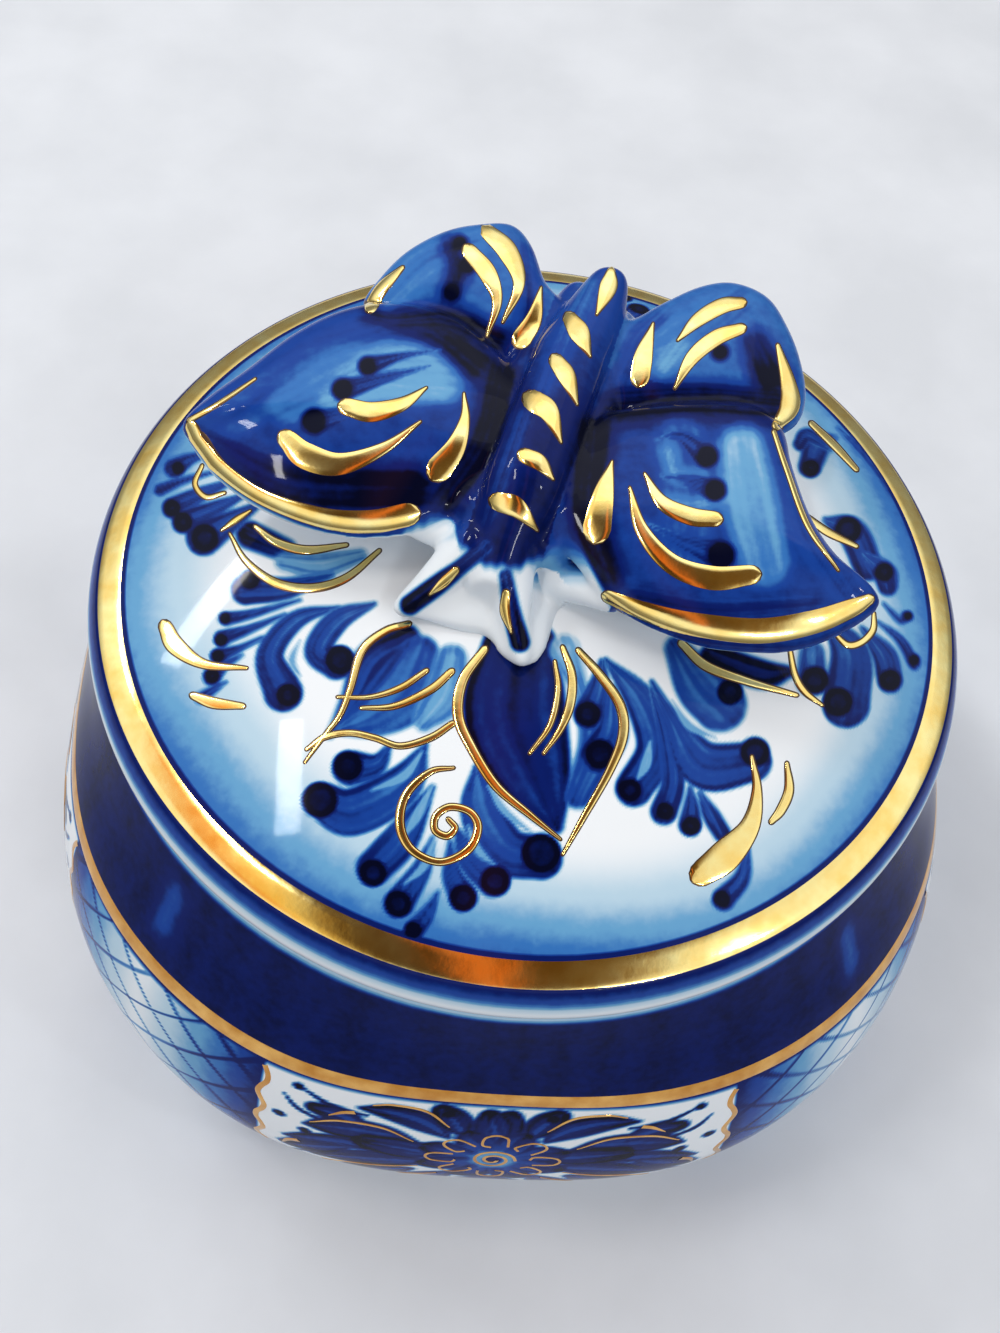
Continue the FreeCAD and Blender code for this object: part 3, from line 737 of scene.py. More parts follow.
LID_SLITS = [
    [(432, 786, 1), (418, 814, 5), (404, 836, 1)],
    [(434, 838, 1), (424, 866, 4), (404, 884, 1)],
    [(468, 826, 1), (478, 850, 4), (496, 866, 1)],
    [(488, 786, 1), (506, 812, 4), (536, 836, 1)],
    [(650, 742, 1), (646, 764, 5), (637, 780, 1)],
    [(422, 752, 1), (404, 776, 4), (372, 790, 1)],
    [(300, 640, 1), (292, 660, 4), (300, 676, 1)],
    [(672, 700, 1), (690, 726, 4), (716, 738, 1)],
]
LID_DOTS = [
    (178, 468, 7), (172, 508, 9), (183, 522, 10), (205, 538, 14), (250, 580, 10), (225, 618, 6),
    (221, 640, 7),
    (218, 656, 7), (212, 676, 8), (288, 695, 12), (340, 660, 15), (348, 766, 15), (320, 800, 18),
    (373, 873, 14),
    (398, 904, 14), (413, 930, 9), (541, 853, 20), (495, 881, 15), (463, 898, 14), (588, 714, 13),
    (600, 754, 15),
    (630, 790, 12), (665, 811, 9), (691, 826, 10), (755, 752, 15), (730, 692, 13), (722, 899, 9),
    (815, 680, 14),
    (838, 702, 15), (890, 680, 11), (811, 468, 9), (848, 530, 14), (884, 572, 10), (908, 616, 5),
    (914, 660, 6),
]
LID_GOLD = [
    [(222, 530, 1), (236, 520, 3), (250, 511, 1)],
    [(230, 534, 1), (246, 561, 3), (276, 583, 4.5), (312, 588, 4.5), (346, 578, 4), (379, 551, 2)],
    [(256, 527, 2), (276, 542, 4), (306, 550, 4.5), (346, 545, 2)],
    [(202, 466, 1.5), (195, 484, 2.2), (206, 497, 2.4), (224, 493, 1.5)],
    [(166, 628, 8), (176, 646, 10), (204, 664, 5), (246, 668, 1.5)],
    [(194, 696, 4), (214, 703, 6), (242, 706, 3)],
    [(408, 624, 3), (385, 631, 3.5), (362, 651, 4), (350, 690, 3), (340, 715, 2.5), (325, 735, 2),
     (305, 762, 1)],
    [(307, 749, 1.5), (325, 737, 3), (350, 733, 3), (375, 738, 3), (400, 746, 3), (430, 738, 3.5),
     (452, 724, 3)],
    [(338, 697, 1.2), (370, 697, 2), (400, 688, 3), (426, 671, 2.5)],
    [(362, 708, 1.5), (395, 706, 3), (430, 690, 4), (451, 672, 3.5)],
    [(484, 650, 4), (463, 680, 5), (458, 715, 5.5), (471, 747, 5), (496, 786, 4.5), (530, 815, 3),
     (560, 839, 1.2)],
    [(579, 651, 3), (600, 675, 4.5), (620, 705, 5), (623, 735, 5), (610, 770, 4), (585, 815, 3),
     (563, 854, 1.2)],
    [(563, 648, 2.5), (572, 675, 4), (570, 705, 4.5), (560, 730, 3), (544, 753, 1.2)],
    [(555, 662, 1.5), (558, 690, 2.5), (550, 725, 2.5), (530, 753, 1.2)],
    [(453, 768, 1.5), (430, 772, 3), (406, 795, 4), (400, 825, 4.5), (412, 850, 4), (440, 862, 3.5),
     (468, 850, 4),
     (478, 828, 4), (470, 812, 3.5), (450, 807, 3.5), (436, 816, 3.5), (435, 830, 3.5), (447, 836, 3.5),
     (455, 828, 3), (449, 820, 2.5)],
    [(752, 757, 1.5), (757, 790, 5), (750, 826, 11), (726, 855, 18), (704, 872, 15)],
    [(787, 764, 2), (789, 790, 5), (781, 810, 5), (772, 821, 3)],
    [(682, 644, 4), (706, 666, 5), (746, 681, 4), (796, 695, 2)],
    [(790, 650, 2), (795, 675, 3), (805, 692, 3), (822, 705, 1.2)],
    [(835, 634, 1.5), (848, 645, 3), (862, 642, 3), (873, 630, 3), (874, 614, 1.5)],
    [(812, 424, 3), (835, 446, 4), (856, 469, 2.5)],
    [(804, 514, 2), (826, 531, 4), (856, 546, 2)],
]
lid_points = lid_grid.reshape(-1, 3)
lid_rows = np.repeat(np.arange(len(lid_profile)), LID_COLUMNS)
lid_radius = np.hypot(lid_points[:, 0], lid_points[:, 1])
lid_turn = np.arctan2(lid_points[:, 1], lid_points[:, 0])
on_dome = lid_rows >= bead_last
on_bead = (lid_rows >= bead_last - len(bead)) & ~on_dome
lid_pigment = np.full(len(lid_points), BARE)
BAND_INNER = 48.9
wash_strength = 0.50 + 0.06 * np.sin(3 * lid_turn + 1) + 0.05 * np.sin(7 * lid_turn)
wash_reach = 14.0 + 2.5 * np.sin(2 * lid_turn + 0.6)
toward_band = np.clip((lid_radius - BAND_INNER + wash_reach) / wash_reach, 0, 1)
lid_wash = BARE + wash_strength * toward_band ** 1.8
lid_wash = np.where(lid_radius > BAND_INNER - 0.35, 0.85, lid_wash)
lid_pigment = np.where(on_dome, lid_wash, lid_pigment)
# pigment up the rolled edge, by the height over its seat; its pale low part is partly bare porcelain where
# the cobalt ends and partly a painted highlight along the edge
EDGE_PIGMENT_AND_HIGHLIGHT = [(0.0, 0.10), (3.0, 0.05), (4.0, 0.14), (5.0, 0.62), (EDGE_HEIGHT, 0.88)]
edge_pigment_and_highlight = np.interp(lid_points[:, 2] - SEAT, *zip(*EDGE_PIGMENT_AND_HIGHLIGHT))
lid_pigment = np.where(on_bead, edge_pigment_and_highlight, lid_pigment)


OUT_OF_SIGHT = -1e6
DAB_TONES = (0.56, 0.76)
SLIT_TONES = (0.22, 0.30)
DOT_TONES = (0.95, 0.95)


def lid_spray(spin, washes, dabs, slits, dots):
    """Paints strokes on the dome, seen with the lid turned by spin."""
    turned = lid_points @ np.array(Matrix.Rotation(spin, 3, "Z")).T
    u, v = picture_place(turned)
    u = np.where(on_dome & (lid_radius < BAND_INNER), u, OUT_OF_SIGHT)
    for points, tail, head in washes:
        paint(lid_pigment, u, v, points, tail, head, 4.0)
    for points in dabs:
        paint(lid_pigment, u, v, points, *DAB_TONES, 2.8)
    for points in slits:
        paint(lid_pigment, u, v, points, *SLIT_TONES, 2.0, streak=0.0)
    for dot in dots:
        paint(lid_pigment, u, v, [dot], *DOT_TONES, 2.4, streak=0.0)


lid_spray(0.0, LID_WASHES, LID_DABS, LID_SLITS, LID_DOTS)
# the back of the dome, behind the knob, repeats the front's lower sprays
BACK_SPIN = math.pi
SPRAY_TOP = 745
SPRAY_RIGHT = 780
back_dabs = [points for points in LID_DABS if points[-1][1] > SPRAY_TOP and points[-1][0] < SPRAY_RIGHT]
back_dots = [dot for dot in LID_DOTS if dot[1] > SPRAY_TOP and dot[0] < SPRAY_RIGHT]
lid_spray(BACK_SPIN, [], back_dabs, [], back_dots)
note_on(lid, "pigment", lid_pigment)
lid_material = glazed("lid_glaze")[0]
lid.data.materials.append(lid_material)
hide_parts("lid")
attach(lid, "lid")

# Gold of the lid: the broad band on the dome's edge is drawn on a banding wheel, the lines with a fine
# brush. All of it is bright gold fired on top of the glaze, with a burnt edge where its oil crept out.


def surface_tree(piece):
    """What finds the surface of a piece along a sight line."""
    coords = [v.co / MM for v in piece.data.vertices]
    return BVHTree.FromPolygons(coords, [p.vertices[:] for p in piece.data.polygons])


OUTLINE_FILM = 0.03
OUTLINE_GROW = 1.6
EDGE_DROP = 7.0
LEAST_CAP = 0.5
CAP_SHARES = (0.45, 0.8, 0.99)


def sight_stroke(tree, points, grow=0.0, film=FILM):
    """Film rows of a stroke laid out in picture pixels on the surface seen there."""
    path, ahead, aside = stroke_sides(points)
    path[:, 2] += grow
    stops = [(place[:2], beside, place[2]) for place, beside in zip(path, aside)]
    for end, way in ((0, -1), (-1, 1)):
        cap = max(path[end, 2], LEAST_CAP)
        cap_ahead = way * cap * ahead[end]
        rounded = [(path[end, :2] + cap_ahead * k, aside[end], cap * math.sqrt(1 - k * k))
                   for k in CAP_SHARES]
        stops = rounded[::-1] + stops if end == 0 else stops + rounded
    rows = []
    normals = []
    for place, beside, width in stops:
        row = []
        for share in ACROSS:
            hit, normal = tree.ray_cast(Vector(EYE), Vector(sight_line(*place + beside * width * share)))[:2]
            if hit is None:
                break
            row.append((np.array(hit), np.array(normal)))
        if len(row) == len(ACROSS) and abs(row[0][0][2] - row[-1][0][2]) < EDGE_DROP:
            rows.append([p for p, n in row])
            normals.append([(n + row[len(row) // 2][1]) / 2 for p, n in row])
    if len(rows) < 2:
        return None
    return film_rows(np.array(rows), np.array(normals), film)


def sight_strokes(tree, strokes, **film):
    """Film rows of all the strokes that fall on a surface."""
    strips = [sight_stroke(tree, points, **film) for points in strokes]
    return [strip for strip in strips if strip is not None]


def burnt_material():
    """The thin brown edge where gold oil creeps out and burns away."""
    material, tree, shader = new_material("burnt_gold_edge")
    feed_in(tree, shader, {
        "Metallic": 0.4,
        "Roughness": 0.3,
        "Base Color": ramp(tree, [(0.0, linear(38, 24, 14)), (1.0, linear(92, 58, 22))], noise(tree, 500))})
    return material


burnt = burnt_material()
lid_tree = surface_tree(lid)
lid_strips = sight_strokes(lid_tree, LID_GOLD)
lid_edges = sight_strokes(lid_tree, LID_GOLD, grow=OUTLINE_GROW, film=OUTLINE_FILM)
back_gold = [points for points in LID_GOLD
             if min(p[1] for p in points) > SPRAY_TOP + 5 and points[0][0] < SPRAY_RIGHT]
half_turn = np.diag((-1.0, -1.0, 1.0))
lid_strips += [strip @ half_turn for strip in sight_strokes(lid_tree, back_gold)]
lid_lines = film_piece("lid_gold_lines", lid_strips)
lid_outlines = film_piece("lid_gold_outlines", lid_edges, finish=burnt)
band_radii = (BAND_INNER + EDGE_RADIUS) / 2 + (EDGE_RADIUS - BAND_INNER) / 2 * ACROSS
band_points = at_reach(band_radii, band_angles[:, None], dome_height(band_radii))
band_up = (band_points - np.array((0, 0, dome_middle))) / dome_radius
lid_band = film_piece("lid_gold_band", [film_rows(band_points, band_up)], closed=True)
for piece in (lid_lines, lid_outlines, lid_band):
    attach(piece, "lid")

# Butterfly: cast body, wings and antennae stuck together and to the dome with slip, then glazed as one.
# The wings are dark cobalt with pale clouds, white underneath, and their front edges are gilded.

KNOB_TURN = math.radians(-15.2)
KNOB_OFFSET = -2.6
KNOB_NODES = ["butterfly_body", "left_forewing", "left_hindwing", "right_forewing", "right_hindwing",
              "butterfly_antennae"]
SKIN_VOXEL = 0.30 * MM
TOP_ROOM = 0.08
SKIN_SMOOTHING = 40
STEM_SINK = 0.5
TAIL_START = -18.0
HEAD_START = 1.0
HEAD_END = 13.0
HEAD_NARROW = 0.35
HEAD_BOW = 4.2
# rims of the puffed wings and of the skirt under the feelers: where they are seen in the picture, and how
# far up from the dome's top
WING_RIMS = {
    "left_forewing": [
        (181, 425, 7.0), (187, 442, 6.0), (210, 474, 5.4), (250, 506, 5.2), (305, 530, 5.0),
        (362, 540, 5.0),
        (420, 533, 5.4), (470, 505, 6.4), (515, 470, 7.5), (535, 410, 8.0), (508, 366, 8.0),
        (468, 327, 8.6),
        (429, 311, 9.0), (383, 306, 9.0), (337, 315, 8.6), (291, 338, 8.2), (245, 373, 7.8),
        (206, 401, 7.4)],
    "right_forewing": [
        (880, 599, 7.0), (868, 620, 6.0), (822, 645, 5.4), (775, 655, 5.0), (714, 651, 5.0),
        (668, 637, 5.2),
        (622, 614, 5.6), (582, 575, 6.4), (545, 520, 7.4), (550, 465, 8.0), (590, 422, 8.4),
        (637, 410, 8.8),
        (698, 405, 8.8), (752, 409, 8.6), (782, 431, 8.4), (792, 469, 8.2), (812, 523, 8.0),
        (841, 565, 7.6)],
    "left_hindwing": [
        (361, 310, 6.5), (379, 281, 7.5), (406, 255, 8.5), (445, 235, 9.2), (483, 228, 9.6),
        (514, 229, 9.6),
        (533, 250, 9.2), (546, 285, 8.8), (566, 315, 8.4), (556, 352, 7.0), (500, 374, 6.0),
        (435, 354, 5.6),
        (385, 336, 5.8)],
    "right_hindwing": [
        (606, 335, 8.4), (630, 324, 8.8), (660, 307, 9.2), (698, 290, 9.5), (733, 286, 9.5),
        (768, 301, 9.0),
        (788, 331, 8.4), (801, 365, 7.6), (806, 404, 6.6), (790, 432, 6.0), (735, 448, 5.6),
        (665, 448, 5.8),
        (610, 415, 6.8), (590, 365, 7.8)],
    "butterfly_antennae": [
        (455, 535, 5.0), (425, 567, 2.2), (398, 594, 0.8), (391, 608, 0.3), (399, 619, 0.1),
        (421, 621, -0.2),
        (456, 630, -0.4), (487, 637, -0.5), (499, 654, -0.5), (518, 668, -0.3), (536, 664, -0.3),
        (547, 650, -0.4),
        (556, 623, -0.6), (568, 596, -0.4), (580, 562, 1.0), (560, 520, 5.0), (505, 505, 6.0)],
}
# the middle of each, how far its top puffs up and its underside sags
WING_MIDDLES = {
    "left_forewing": ((370, 425, 7.4), 4.0, 1.6),
    "right_forewing": ((690, 522, 7.4), 4.0, 1.6),
    "left_hindwing": ((464, 300, 7.6), 3.6, 1.8),
    "right_hindwing": ((704, 366, 7.6), 3.6, 1.8),
    "butterfly_antennae": ((494, 585, 1.0), 1.6, 1.0),
}
# rolls of clay: the feelers' ridges and the fillets from the wings to the head, each point with its radius
CLAY_ROLLS = [
    [(474, 545, 4.6, 3.0), (432, 582, 2.4, 1.9), (400, 608, 0.8, 0.9)],
    [(510, 556, 4.4, 3.0), (514, 612, 2.2, 1.9), (522, 659, 0.6, 1.0)],
    [(418, 526, 4.8, 1.6), (450, 534, 4.0, 2.2), (470, 548, 2.6, 2.4)],
    [(612, 602, 4.6, 1.4), (582, 586, 3.2, 2.2), (560, 580, 1.6, 2.4)],
    [(524, 480, 7.6, 4.2), (514, 512, 6.8, 4.0), (504, 542, 5.4, 3.6), (498, 568, 3.6, 2.9),
     (496, 590, 2.0, 2.0)],
    [(474, 505, 6.2, 2.8), (506, 425, 6.6, 3.2), (540, 350, 6.8, 3.0), (578, 300, 7.0, 2.4)],
    [(552, 545, 5.2, 2.8), (574, 472, 6.4, 3.2), (598, 398, 6.8, 3.2), (618, 330, 7.0, 2.6)],
]
CLAY_STEPS = 8
PUFF_ROUND = 2.3

knob_right = np.array((math.cos(KNOB_TURN), math.sin(KNOB_TURN)))
knob_ahead = np.array((math.sin(KNOB_TURN), -math.cos(KNOB_TURN)))
knob_top = float(dome_height(0.0))


def on_sight(across, down, up):
    """The place at a height over the dome's top that is seen at a pixel, in millimetres."""
    ray = sight_line(across, down)
    return EYE + ray * (knob_top + up - EYE[2]) / ray[2]


def closed_curve(points, per_span=8):
    """A smooth closed curve through points."""
    points = np.array(points, float)
    neighbours = [np.roll(points, shift, axis=0)[:, None, :] for shift in (1, 0, -1, -2)]
    return smooth_span(*neighbours, (np.arange(per_span) / per_span)[None, :, None]).reshape(-1, 3)


def pillow(rim, middle, puff, sag):
    """Rings of a puffed piece of clay, from the middle of its top over its rim to the middle underneath."""
    rim = np.array([on_sight(*place) for place in closed_curve(rim)])
    heart = on_sight(*middle)
    shares = np.sin(np.linspace(0.02, 1, 16) * math.pi / 2)
    rings = []
    for share, height in [(s, puff) for s in shares] + [(s, -sag) for s in shares[-2::-1]]:
        ring = heart + (rim - heart) * share
        ring[:, 2] += height * (1 - share ** PUFF_ROUND) ** (1 / PUFF_ROUND)
        rings.append(ring)
    return np.array(rings)


skin_build = bmesh.new()
skin_build.from_mesh(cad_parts["butterfly_body"].data)
bmesh.ops.remove_doubles(skin_build, verts=skin_build.verts, dist=0.001 * MM)
for vert in skin_build.verts:
    place = (np.array(vert.co) / MM)[:2]
    along = place @ knob_ahead
    drawn_in = 0.10 * max(TAIL_START - along, 0.0) * MM
    vert.co += Vector((*(knob_ahead + knob_right) * drawn_in, 0.0))
    # the head narrows and bows down to the feelers
    bow = float(eased(along, HEAD_START, HEAD_END))
    aside = (place @ knob_right - KNOB_OFFSET) * HEAD_NARROW * bow * MM
    vert.co -= Vector((*knob_right * aside, HEAD_BOW * bow * MM))
for name, rim in WING_RIMS.items():
    clay = ring_mesh(name + "_clay", pillow(rim, *WING_MIDDLES[name]))
    skin_build.from_mesh(clay.data)
    bpy.data.objects.remove(clay)
for roll in CLAY_ROLLS:
    for start, end in zip(roll, roll[1:]):
        for share in np.arange(CLAY_STEPS + 1) / CLAY_STEPS:
            across, down, up, radius = mixed(np.array(start), np.array(end), share)
            spot = Matrix.Translation(Vector(on_sight(across, down, up) * MM))
            bmesh.ops.create_icosphere(skin_build, subdivisions=3, radius=radius * MM, matrix=spot)
bmesh.ops.recalc_face_normals(skin_build, faces=skin_build.faces)
rough_mesh = bpy.data.meshes.new("butterfly_rough")
skin_build.to_mesh(rough_mesh)
skin_build.free()
rough = stand("butterfly_rough", rough_mesh)
remesh = rough.modifiers.new("one_skin", "REMESH")
remesh.mode = "VOXEL"
remesh.voxel_size = SKIN_VOXEL
soften = rough.modifiers.new("glaze_softens", "SMOOTH")
soften.factor = 0.5
soften.iterations = SKIN_SMOOTHING
skin_mesh = bpy.data.meshes.new_from_object(rough.evaluated_get(bpy.context.evaluated_depsgraph_get()))
bpy.data.objects.remove(rough)
skin_mesh.name = "butterfly_knob"


def point_values(mesh, what):
    """Places or directions of all the points of a mesh."""
    values = np.zeros(len(mesh.vertices) * 3, np.float32)
    mesh.vertices.foreach_get(what, values)
    return values.reshape(-1, 3).astype(float)


skin_at = point_values(skin_mesh, "co") / MM
over_dome = skin_at[:, 2] - dome_height(np.hypot(skin_at[:, 0], skin_at[:, 1]))
# the stem sinks a little into the dome, and the top stays clear of the highest gold
skin_at[:, 2] -= STEM_SINK * (1 - eased(over_dome, 0.2, 1.2)) + TOP_ROOM * eased(over_dome, 6.0, 12.0)
skin_mesh.vertices.foreach_set("co", (skin_at * MM).ravel().astype(np.float32))
skin_mesh.update()
facing_up = point_values(skin_mesh, "normal")[:, 2]
skin_mesh.polygons.foreach_set("use_smooth", [True] * len(skin_mesh.polygons))
butterfly = stand("butterfly_knob", skin_mesh)

# places on the butterfly: across to its right as seen from the front, forward to the head, and up from
# the dome's top
BODY_HALF_WIDTH = 4.4
FORE_REAR = -17.6
flat_at = skin_at[:, :2] - KNOB_OFFSET * knob_right
wing_span = flat_at @ knob_right
wing_ahead = flat_at @ knob_ahead
wing_lift = skin_at[:, 2] - knob_top
far_span = np.abs(wing_span)
in_body = far_span < BODY_HALF_WIDTH
in_fore = (far_span >= BODY_HALF_WIDTH) & (wing_ahead > FORE_REAR)
in_hind = (far_span >= BODY_HALF_WIDTH) & (wing_ahead <= FORE_REAR)
in_feelers = (wing_ahead > HEAD_END - 5) & (far_span < 12) & (wing_lift < 9)

# Washes of the wings and body in picture pixels, with their tail and head tones. The dark washes along the
# forewings' rear edges and across the hindwings' lower edges are partly the dark margin brushed there and
# partly painted shade, for the valleys where the hindwings tuck under the forewings.
BUTTERFLY_WASHES_AND_SHADE = [
    ([(225, 408, 30), (300, 362, 28), (370, 335, 20)], 0.58, 0.62),
    ([(290, 402, 20), (352, 376, 30), (440, 376, 26)], 0.46, 0.32),
    ([(330, 398, 8), (384, 386, 9), (440, 388, 6)], 0.30, 0.28),
    ([(345, 374, 6), (395, 354, 8), (440, 356, 5)], 0.34, 0.30),
    ([(478, 362, 20), (432, 328, 16), (372, 314, 9)], 0.91, 0.90),
    ([(502, 376, 18), (486, 440, 19), (448, 498, 19)], 0.92, 0.88),
    ([(205, 438, 12), (290, 484, 26), (410, 490, 24)], 0.74, 0.94),
    ([(618, 410, 18), (690, 406, 15), (775, 412, 12)], 0.91, 0.88),
    ([(680, 445, 24), (690, 500, 24), (684, 545, 20)], 0.54, 0.58),
    ([(742, 450, 22), (750, 500, 27), (764, 560, 24)], 0.22, 0.38),
    ([(668, 452, 4), (676, 474, 5), (700, 476, 4)], 0.30, 0.36),
    ([(668, 500, 3), (690, 505, 5), (716, 500, 4)], 0.34, 0.32),
    ([(792, 470, 6), (810, 530, 16), (848, 590, 14)], 0.58, 0.66),
    ([(594, 432, 21), (588, 510, 21), (606, 572, 20)], 0.92, 0.88),
    ([(640, 600, 14), (710, 612, 14), (810, 606, 12)], 0.82, 0.72),
    ([(610, 604, 6), (640, 628, 8), (710, 645, 8), (800, 648, 8), (864, 622, 6)], 0.84, 0.70),
    ([(390, 292, 16), (424, 258, 20), (470, 240, 14)], 0.42, 0.48),
    ([(400, 320, 9), (450, 318, 14), (500, 340, 14)], 0.86, 0.91),
    ([(450, 245, 8), (458, 268, 11), (450, 294, 9)], 0.90, 0.90),
    ([(524, 250, 10), (530, 300, 12), (522, 345, 14)], 0.62, 0.80),
    ([(626, 372, 14), (640, 340, 14), (660, 320, 12)], 0.66, 0.58),
    ([(668, 345, 16), (700, 330, 22), (735, 305, 16)], 0.44, 0.54),
    ([(664, 366, 6), (680, 345, 7)], 0.30, 0.34),
    ([(756, 345, 16), (772, 380, 20)], 0.80, 0.96),
    ([(625, 398, 12), (700, 394, 12), (780, 400, 11)], 0.88, 0.90),
    ([(590, 285, 7), (566, 335, 9), (546, 385, 8)], 0.52, 0.62),
    ([(522, 420, 8), (505, 470, 9), (488, 520, 8)], 0.66, 0.74),
]
LEFT_WHITE_EDGE = [(188, 446, 3), (214, 480, 5), (252, 509, 6), (305, 534, 7), (362, 545, 7),
                   (418, 541, 9), (446, 528, 9)]
BUTTERFLY_DABS = [
    [(440, 350, 1), (402, 356, 4), (368, 366, 10)],
    [(430, 366, 1), (384, 378, 6), (343, 390, 11)],
    [(405, 402, 1), (355, 412, 6), (314, 422, 12)],
    [(655, 440, 1), (680, 436, 6), (706, 456, 12)],
    [(660, 476, 1), (688, 480, 6), (715, 490, 11)],
    [(640, 520, 1), (680, 540, 7), (720, 555, 14)],
]
BUTTERFLY_DOTS = [
    (368, 366, 9), (343, 389, 11), (314, 421, 13), (460, 243, 8), (468, 265, 9), (452, 292, 9),
    (707, 456, 11),
    (715, 490, 11), (721, 555, 14), (720, 352, 9), (520, 646, 9),
]
FEELER_STROKES = [
    [(484, 548, 9), (462, 566, 8), (440, 583, 10), (410, 605, 10)],
    [(506, 576, 7), (512, 612, 9), (520, 642, 10)],
]
BUTTERFLY_GOLD = [
    [(611, 272, 4.8), (608, 288, 9.6), (597, 314, 1)],
    [(571, 320, 8.4), (580, 334, 10.8), (590, 356, 1)],
    [(557, 362, 8.4), (567, 377, 9.6), (577, 404, 1)],
    [(534, 401, 12), (549, 412, 10.8), (561, 442, 1)],
    [(526, 456, 8.4), (540, 463, 8.4), (553, 479, 1)],
    [(500, 502, 10.8), (517, 508, 10.8), (537, 530, 1)],
    [(348, 407, 9.6), (372, 412, 10.8), (402, 404, 7.2), (426, 388, 1)],
    [(288, 440, 10.8), (306, 456, 14.4), (340, 464, 12), (384, 448, 6), (420, 422, 1)],
    [(440, 468, 14.4), (456, 446, 10.8), (465, 418, 4.8), (464, 394, 1)],
    [(488, 232, 8.4), (508, 252, 10.8), (519, 284, 6), (503, 322, 1)],
    [(470, 252, 8.4), (488, 274, 9.6), (497, 302, 4.8), (487, 336, 1)],
    [(522, 338, 10.8), (534, 318, 8.4), (541, 288, 1)],
    [(645, 474, 1), (662, 502, 7.2), (690, 516, 9.6), (714, 519, 8.4)],
    [(630, 488, 1), (642, 530, 7.2), (672, 564, 10.8), (712, 578, 13.2), (750, 575, 10.8)],
    [(612, 462, 1), (604, 492, 10.8), (597, 528, 15.6)],
    [(678, 340, 1), (698, 320, 7.2), (722, 306, 8.4), (740, 303, 6)],
    [(675, 388, 1), (692, 358, 7.2), (716, 338, 8.4), (740, 329, 6)],
    [(640, 376, 10.8), (644, 354, 9.6), (653, 324, 1)],
    [(430, 594, 1), (443, 583, 5), (455, 571, 4)],
    [(511, 632, 1), (505, 612, 5), (506, 594, 4)],
    [(192, 428, 7), (206, 455, 8), (256, 494, 8), (318, 517, 11), (368, 522, 13), (407, 515, 13)],
    [(190, 420, 2.5), (218, 404, 2), (255, 379, 1)],
    [(609, 597, 7), (652, 614, 11), (698, 625, 13), (760, 631, 14), (814, 622, 13), (852, 608, 10),
     (868, 600, 6)],
    [(774, 432, 2), (787, 470, 2.5), (808, 526, 2.5), (838, 570, 1)],
    [(778, 346, 2), (788, 382, 8), (790, 406, 11), (778, 424, 6)],
    [(371, 306, 7), (383, 287, 7), (402, 268, 2)],
]
skin_u, skin_v = picture_place(skin_at)
WHITE_SKIN = 0.04
WING_DAB_TONES = (0.5, 0.78)
WING_DOT_TONES = (0.98, 0.98)
skin_pigment = np.full(len(skin_at), WHITE_SKIN)
skin_pigment[in_fore] = 0.74
skin_pigment[in_hind] = 0.58
skin_pigment[in_body] = (0.68 + 0.22 * eased(wing_ahead, -30, 4))[in_body]
upper = facing_up > 0.15
top_u = np.where(upper, skin_u, OUT_OF_SIGHT)
# the washes lay the wings' pigment, and the painted shade in the valleys between the wings
for points, tail, head in BUTTERFLY_WASHES_AND_SHADE:
    paint(skin_pigment, top_u, skin_v, points, tail, head, 12.0, streak=0.03)
for points in BUTTERFLY_DABS:
    paint(skin_pigment, top_u, skin_v, points, *WING_DAB_TONES, 2.5)
for dot in BUTTERFLY_DOTS:
    paint(skin_pigment, top_u, skin_v, [dot], *WING_DOT_TONES, 4.5, streak=0.0)
# the underside, the left wing's lower edge, the stem and the feelers stay white
stem = (wing_lift < 4.2) & (far_span < 9.0) & (facing_up < 0.75) & (wing_ahead < HEAD_END)
white_from = np.where(wing_span > 0, -0.35, 0.0)
below_edge = 1 - eased(facing_up, white_from - 0.08, white_from + 0.08)
white_below = np.where(in_body, 1 - eased(facing_up, -0.35, -0.2), below_edge)
white_below = np.maximum(white_below, np.where(stem, 1.0, 0.0))
skin_pigment = mixed(skin_pigment, WHITE_SKIN, white_below)
edge_u = np.where((facing_up > -0.2) & (wing_span < 0), skin_u, OUT_OF_SIGHT)
paint(skin_pigment, edge_u, skin_v, LEFT_WHITE_EDGE, WHITE_SKIN, WHITE_SKIN, 2.5, streak=0.0)
# the body's blue ends in a ragged curve across the head, and under the left wing in a slant
ragged = 1.6 * np.sin(0.21 * skin_u) + 1.2 * np.sin(0.52 * skin_u + 1)
under_wing = 530 - 0.62 * (skin_u - 412)
on_head = eased(skin_u, 446, 460)
head_line = mixed(under_wing, 568 - 0.0108 * (skin_u - 507) ** 2, on_head) + ragged
off_right = eased(572 + 0.51 * (skin_v - 530) - skin_u, -4, 4)
by_head = eased(wing_ahead, HEAD_END - 7, HEAD_END - 3) * np.where(far_span < 13, 1.0, 0.0)
white_ahead = eased(skin_v - head_line, -8, 8) * off_right * by_head
skin_pigment = mixed(skin_pigment, 0.05, white_ahead)
feeler_u = np.where(in_feelers, skin_u, OUT_OF_SIGHT)
for points in FEELER_STROKES:
    paint(skin_pigment, feeler_u, skin_v, points, 0.7, 0.95, 3.0)
note_on(butterfly, "pigment", skin_pigment)
knob_material = glazed("butterfly_glaze")[0]
butterfly.data.materials.append(knob_material)
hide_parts(*KNOB_NODES)
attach(butterfly, "lid")

# Gold of the butterfly: loose comma strokes on the body, wings and feelers, and lines along the wings'
# front edges, brushed over the glaze a little thicker than on the lid.

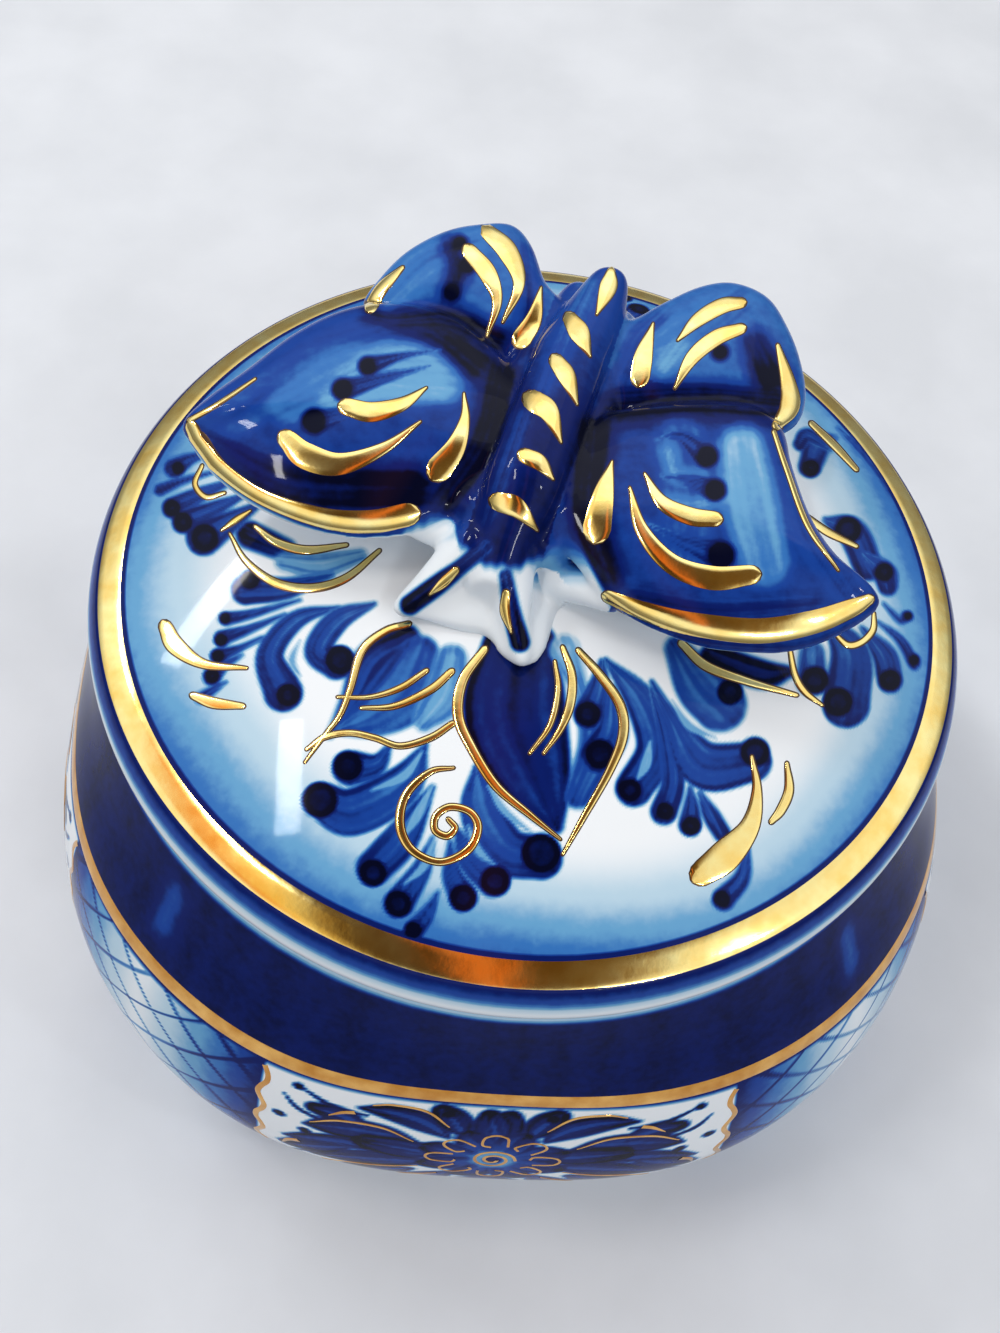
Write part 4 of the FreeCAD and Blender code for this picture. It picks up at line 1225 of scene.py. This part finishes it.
KNOB_FILM = 0.10
knob_tree = surface_tree(butterfly)
knob_lines = film_piece("butterfly_gold_strokes", sight_strokes(knob_tree, BUTTERFLY_GOLD, film=KNOB_FILM))
knob_edges = sight_strokes(knob_tree, BUTTERFLY_GOLD, grow=OUTLINE_GROW, film=OUTLINE_FILM)
knob_outlines = film_piece("butterfly_gold_outlines", knob_edges, finish=burnt)
for piece in (knob_lines, knob_outlines):
    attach(piece, "lid")

# Table and light: a plain pale table top under a soft sky, with window-like lamps at the left, behind and
# in front. Dark and warm things stand over the front of the box, which only the gold mirrors clearly.

FLOOR_SIZE = 3.0
floor_mesh = bpy.data.meshes.new("table_top")
half = FLOOR_SIZE / 2
corners = [(-half, -half, 0), (half, -half, 0), (half, half, 0), (-half, half, 0)]
floor_mesh.from_pydata(corners, [], [(0, 1, 2, 3)])
floor = stand("table_top", floor_mesh)
floor_material, tree, shader = new_material("pale_table")
TABLE_STEPS = [(0.35, linear(211, 217, 225)), (0.65, linear(221, 227, 235))]
feed_in(tree, shader, {"Roughness": 0.55, "Base Color": ramp(tree, TABLE_STEPS, noise(tree, 30, detail=6))})
floor_mesh.materials.append(floor_material)


LAMP_AIM = Vector((0, 0, 0.06))


def lamp(name, place, size, power, colour):
    """A soft rectangular lamp aimed at the lid."""
    data = bpy.data.lights.new(name, "AREA")
    data.shape = "RECTANGLE"
    data.size, data.size_y = size
    data.energy = power
    data.color = colour
    light = stand(name, data)
    light.location = place
    light.rotation_euler = (LAMP_AIM - Vector(place)).to_track_quat("-Z", "Y").to_euler()


lamp("window_left", (-0.51, 0.33, 0.67), (0.24, 0.045), 1.3, (1.0, 0.99, 0.97))
lamp("window_right", (-0.38, 0.0, 0.83), (0.22, 0.045), 1.3, (1.0, 0.98, 0.96))
lamp("back_window", (0.05, 0.45, 0.80), (0.7, 0.4), 0.5, (1.0, 1.0, 0.98))
lamp("small_window", (0.52, -0.30, 0.75), (0.03, 0.08), 0.4, (0.97, 0.99, 1.0))
lamp("front_window", (0.30, -0.55, 0.62), (0.16, 0.03), 0.6, (1.0, 1.0, 1.0))

world = bpy.data.worlds.new("studio")
bpy.context.scene.world = world
world.use_nodes = True
tree = world.node_tree
around = node(tree, "ShaderNodeTexCoord").outputs["Generated"]
toward = node(tree, "ShaderNodeSeparateXYZ", {"Vector": around}).outputs
# light from the horizon up to straight overhead
SKY_STEPS = [(0.0, (0.22, 0.22, 0.23, 1)), (0.3, (0.34, 0.35, 0.36, 1)), (0.55, (1.24, 1.26, 1.28, 1)),
             (1.0, (1.20, 1.21, 1.22, 1))]
# what stands over the front of the box, from left to right
FRONT_STEPS = [(0.0, (1.1, 0.95, 0.7, 1)), (0.14, (1.0, 0.42, 0.12, 1)), (0.24, (1.1, 0.85, 0.4, 1)),
               (0.36, (0.10, 0.06, 0.03, 1)), (0.52, (0.07, 0.04, 0.02, 1)),
               (0.60, (0.95, 0.26, 0.06, 1)),
               (0.68, (0.08, 0.05, 0.02, 1)), (0.84, (0.20, 0.12, 0.05, 1)), (0.94, (1.1, 1.1, 1.1, 1))]
open_sky = ramp(tree, SKY_STEPS, toward["Z"])
front_things = ramp(tree, FRONT_STEPS, spread(tree, toward["X"], -0.75, 0.50))
near_front = spread(tree, toward["Y"], 0.30, 0.14)
high_up = spread(tree, toward["Z"], 0.70, 0.78)
feed = {"Factor": reckon(tree, "MULTIPLY", near_front, high_up), 6: open_sky, 7: front_things}
surroundings = node(tree, "ShaderNodeMix", feed, data_type="RGBA")
feed_in(tree, tree.nodes["Background"], {"Color": surroundings.outputs[2], "Strength": 0.86})
bpy.context.scene.view_settings.view_transform = "Standard"
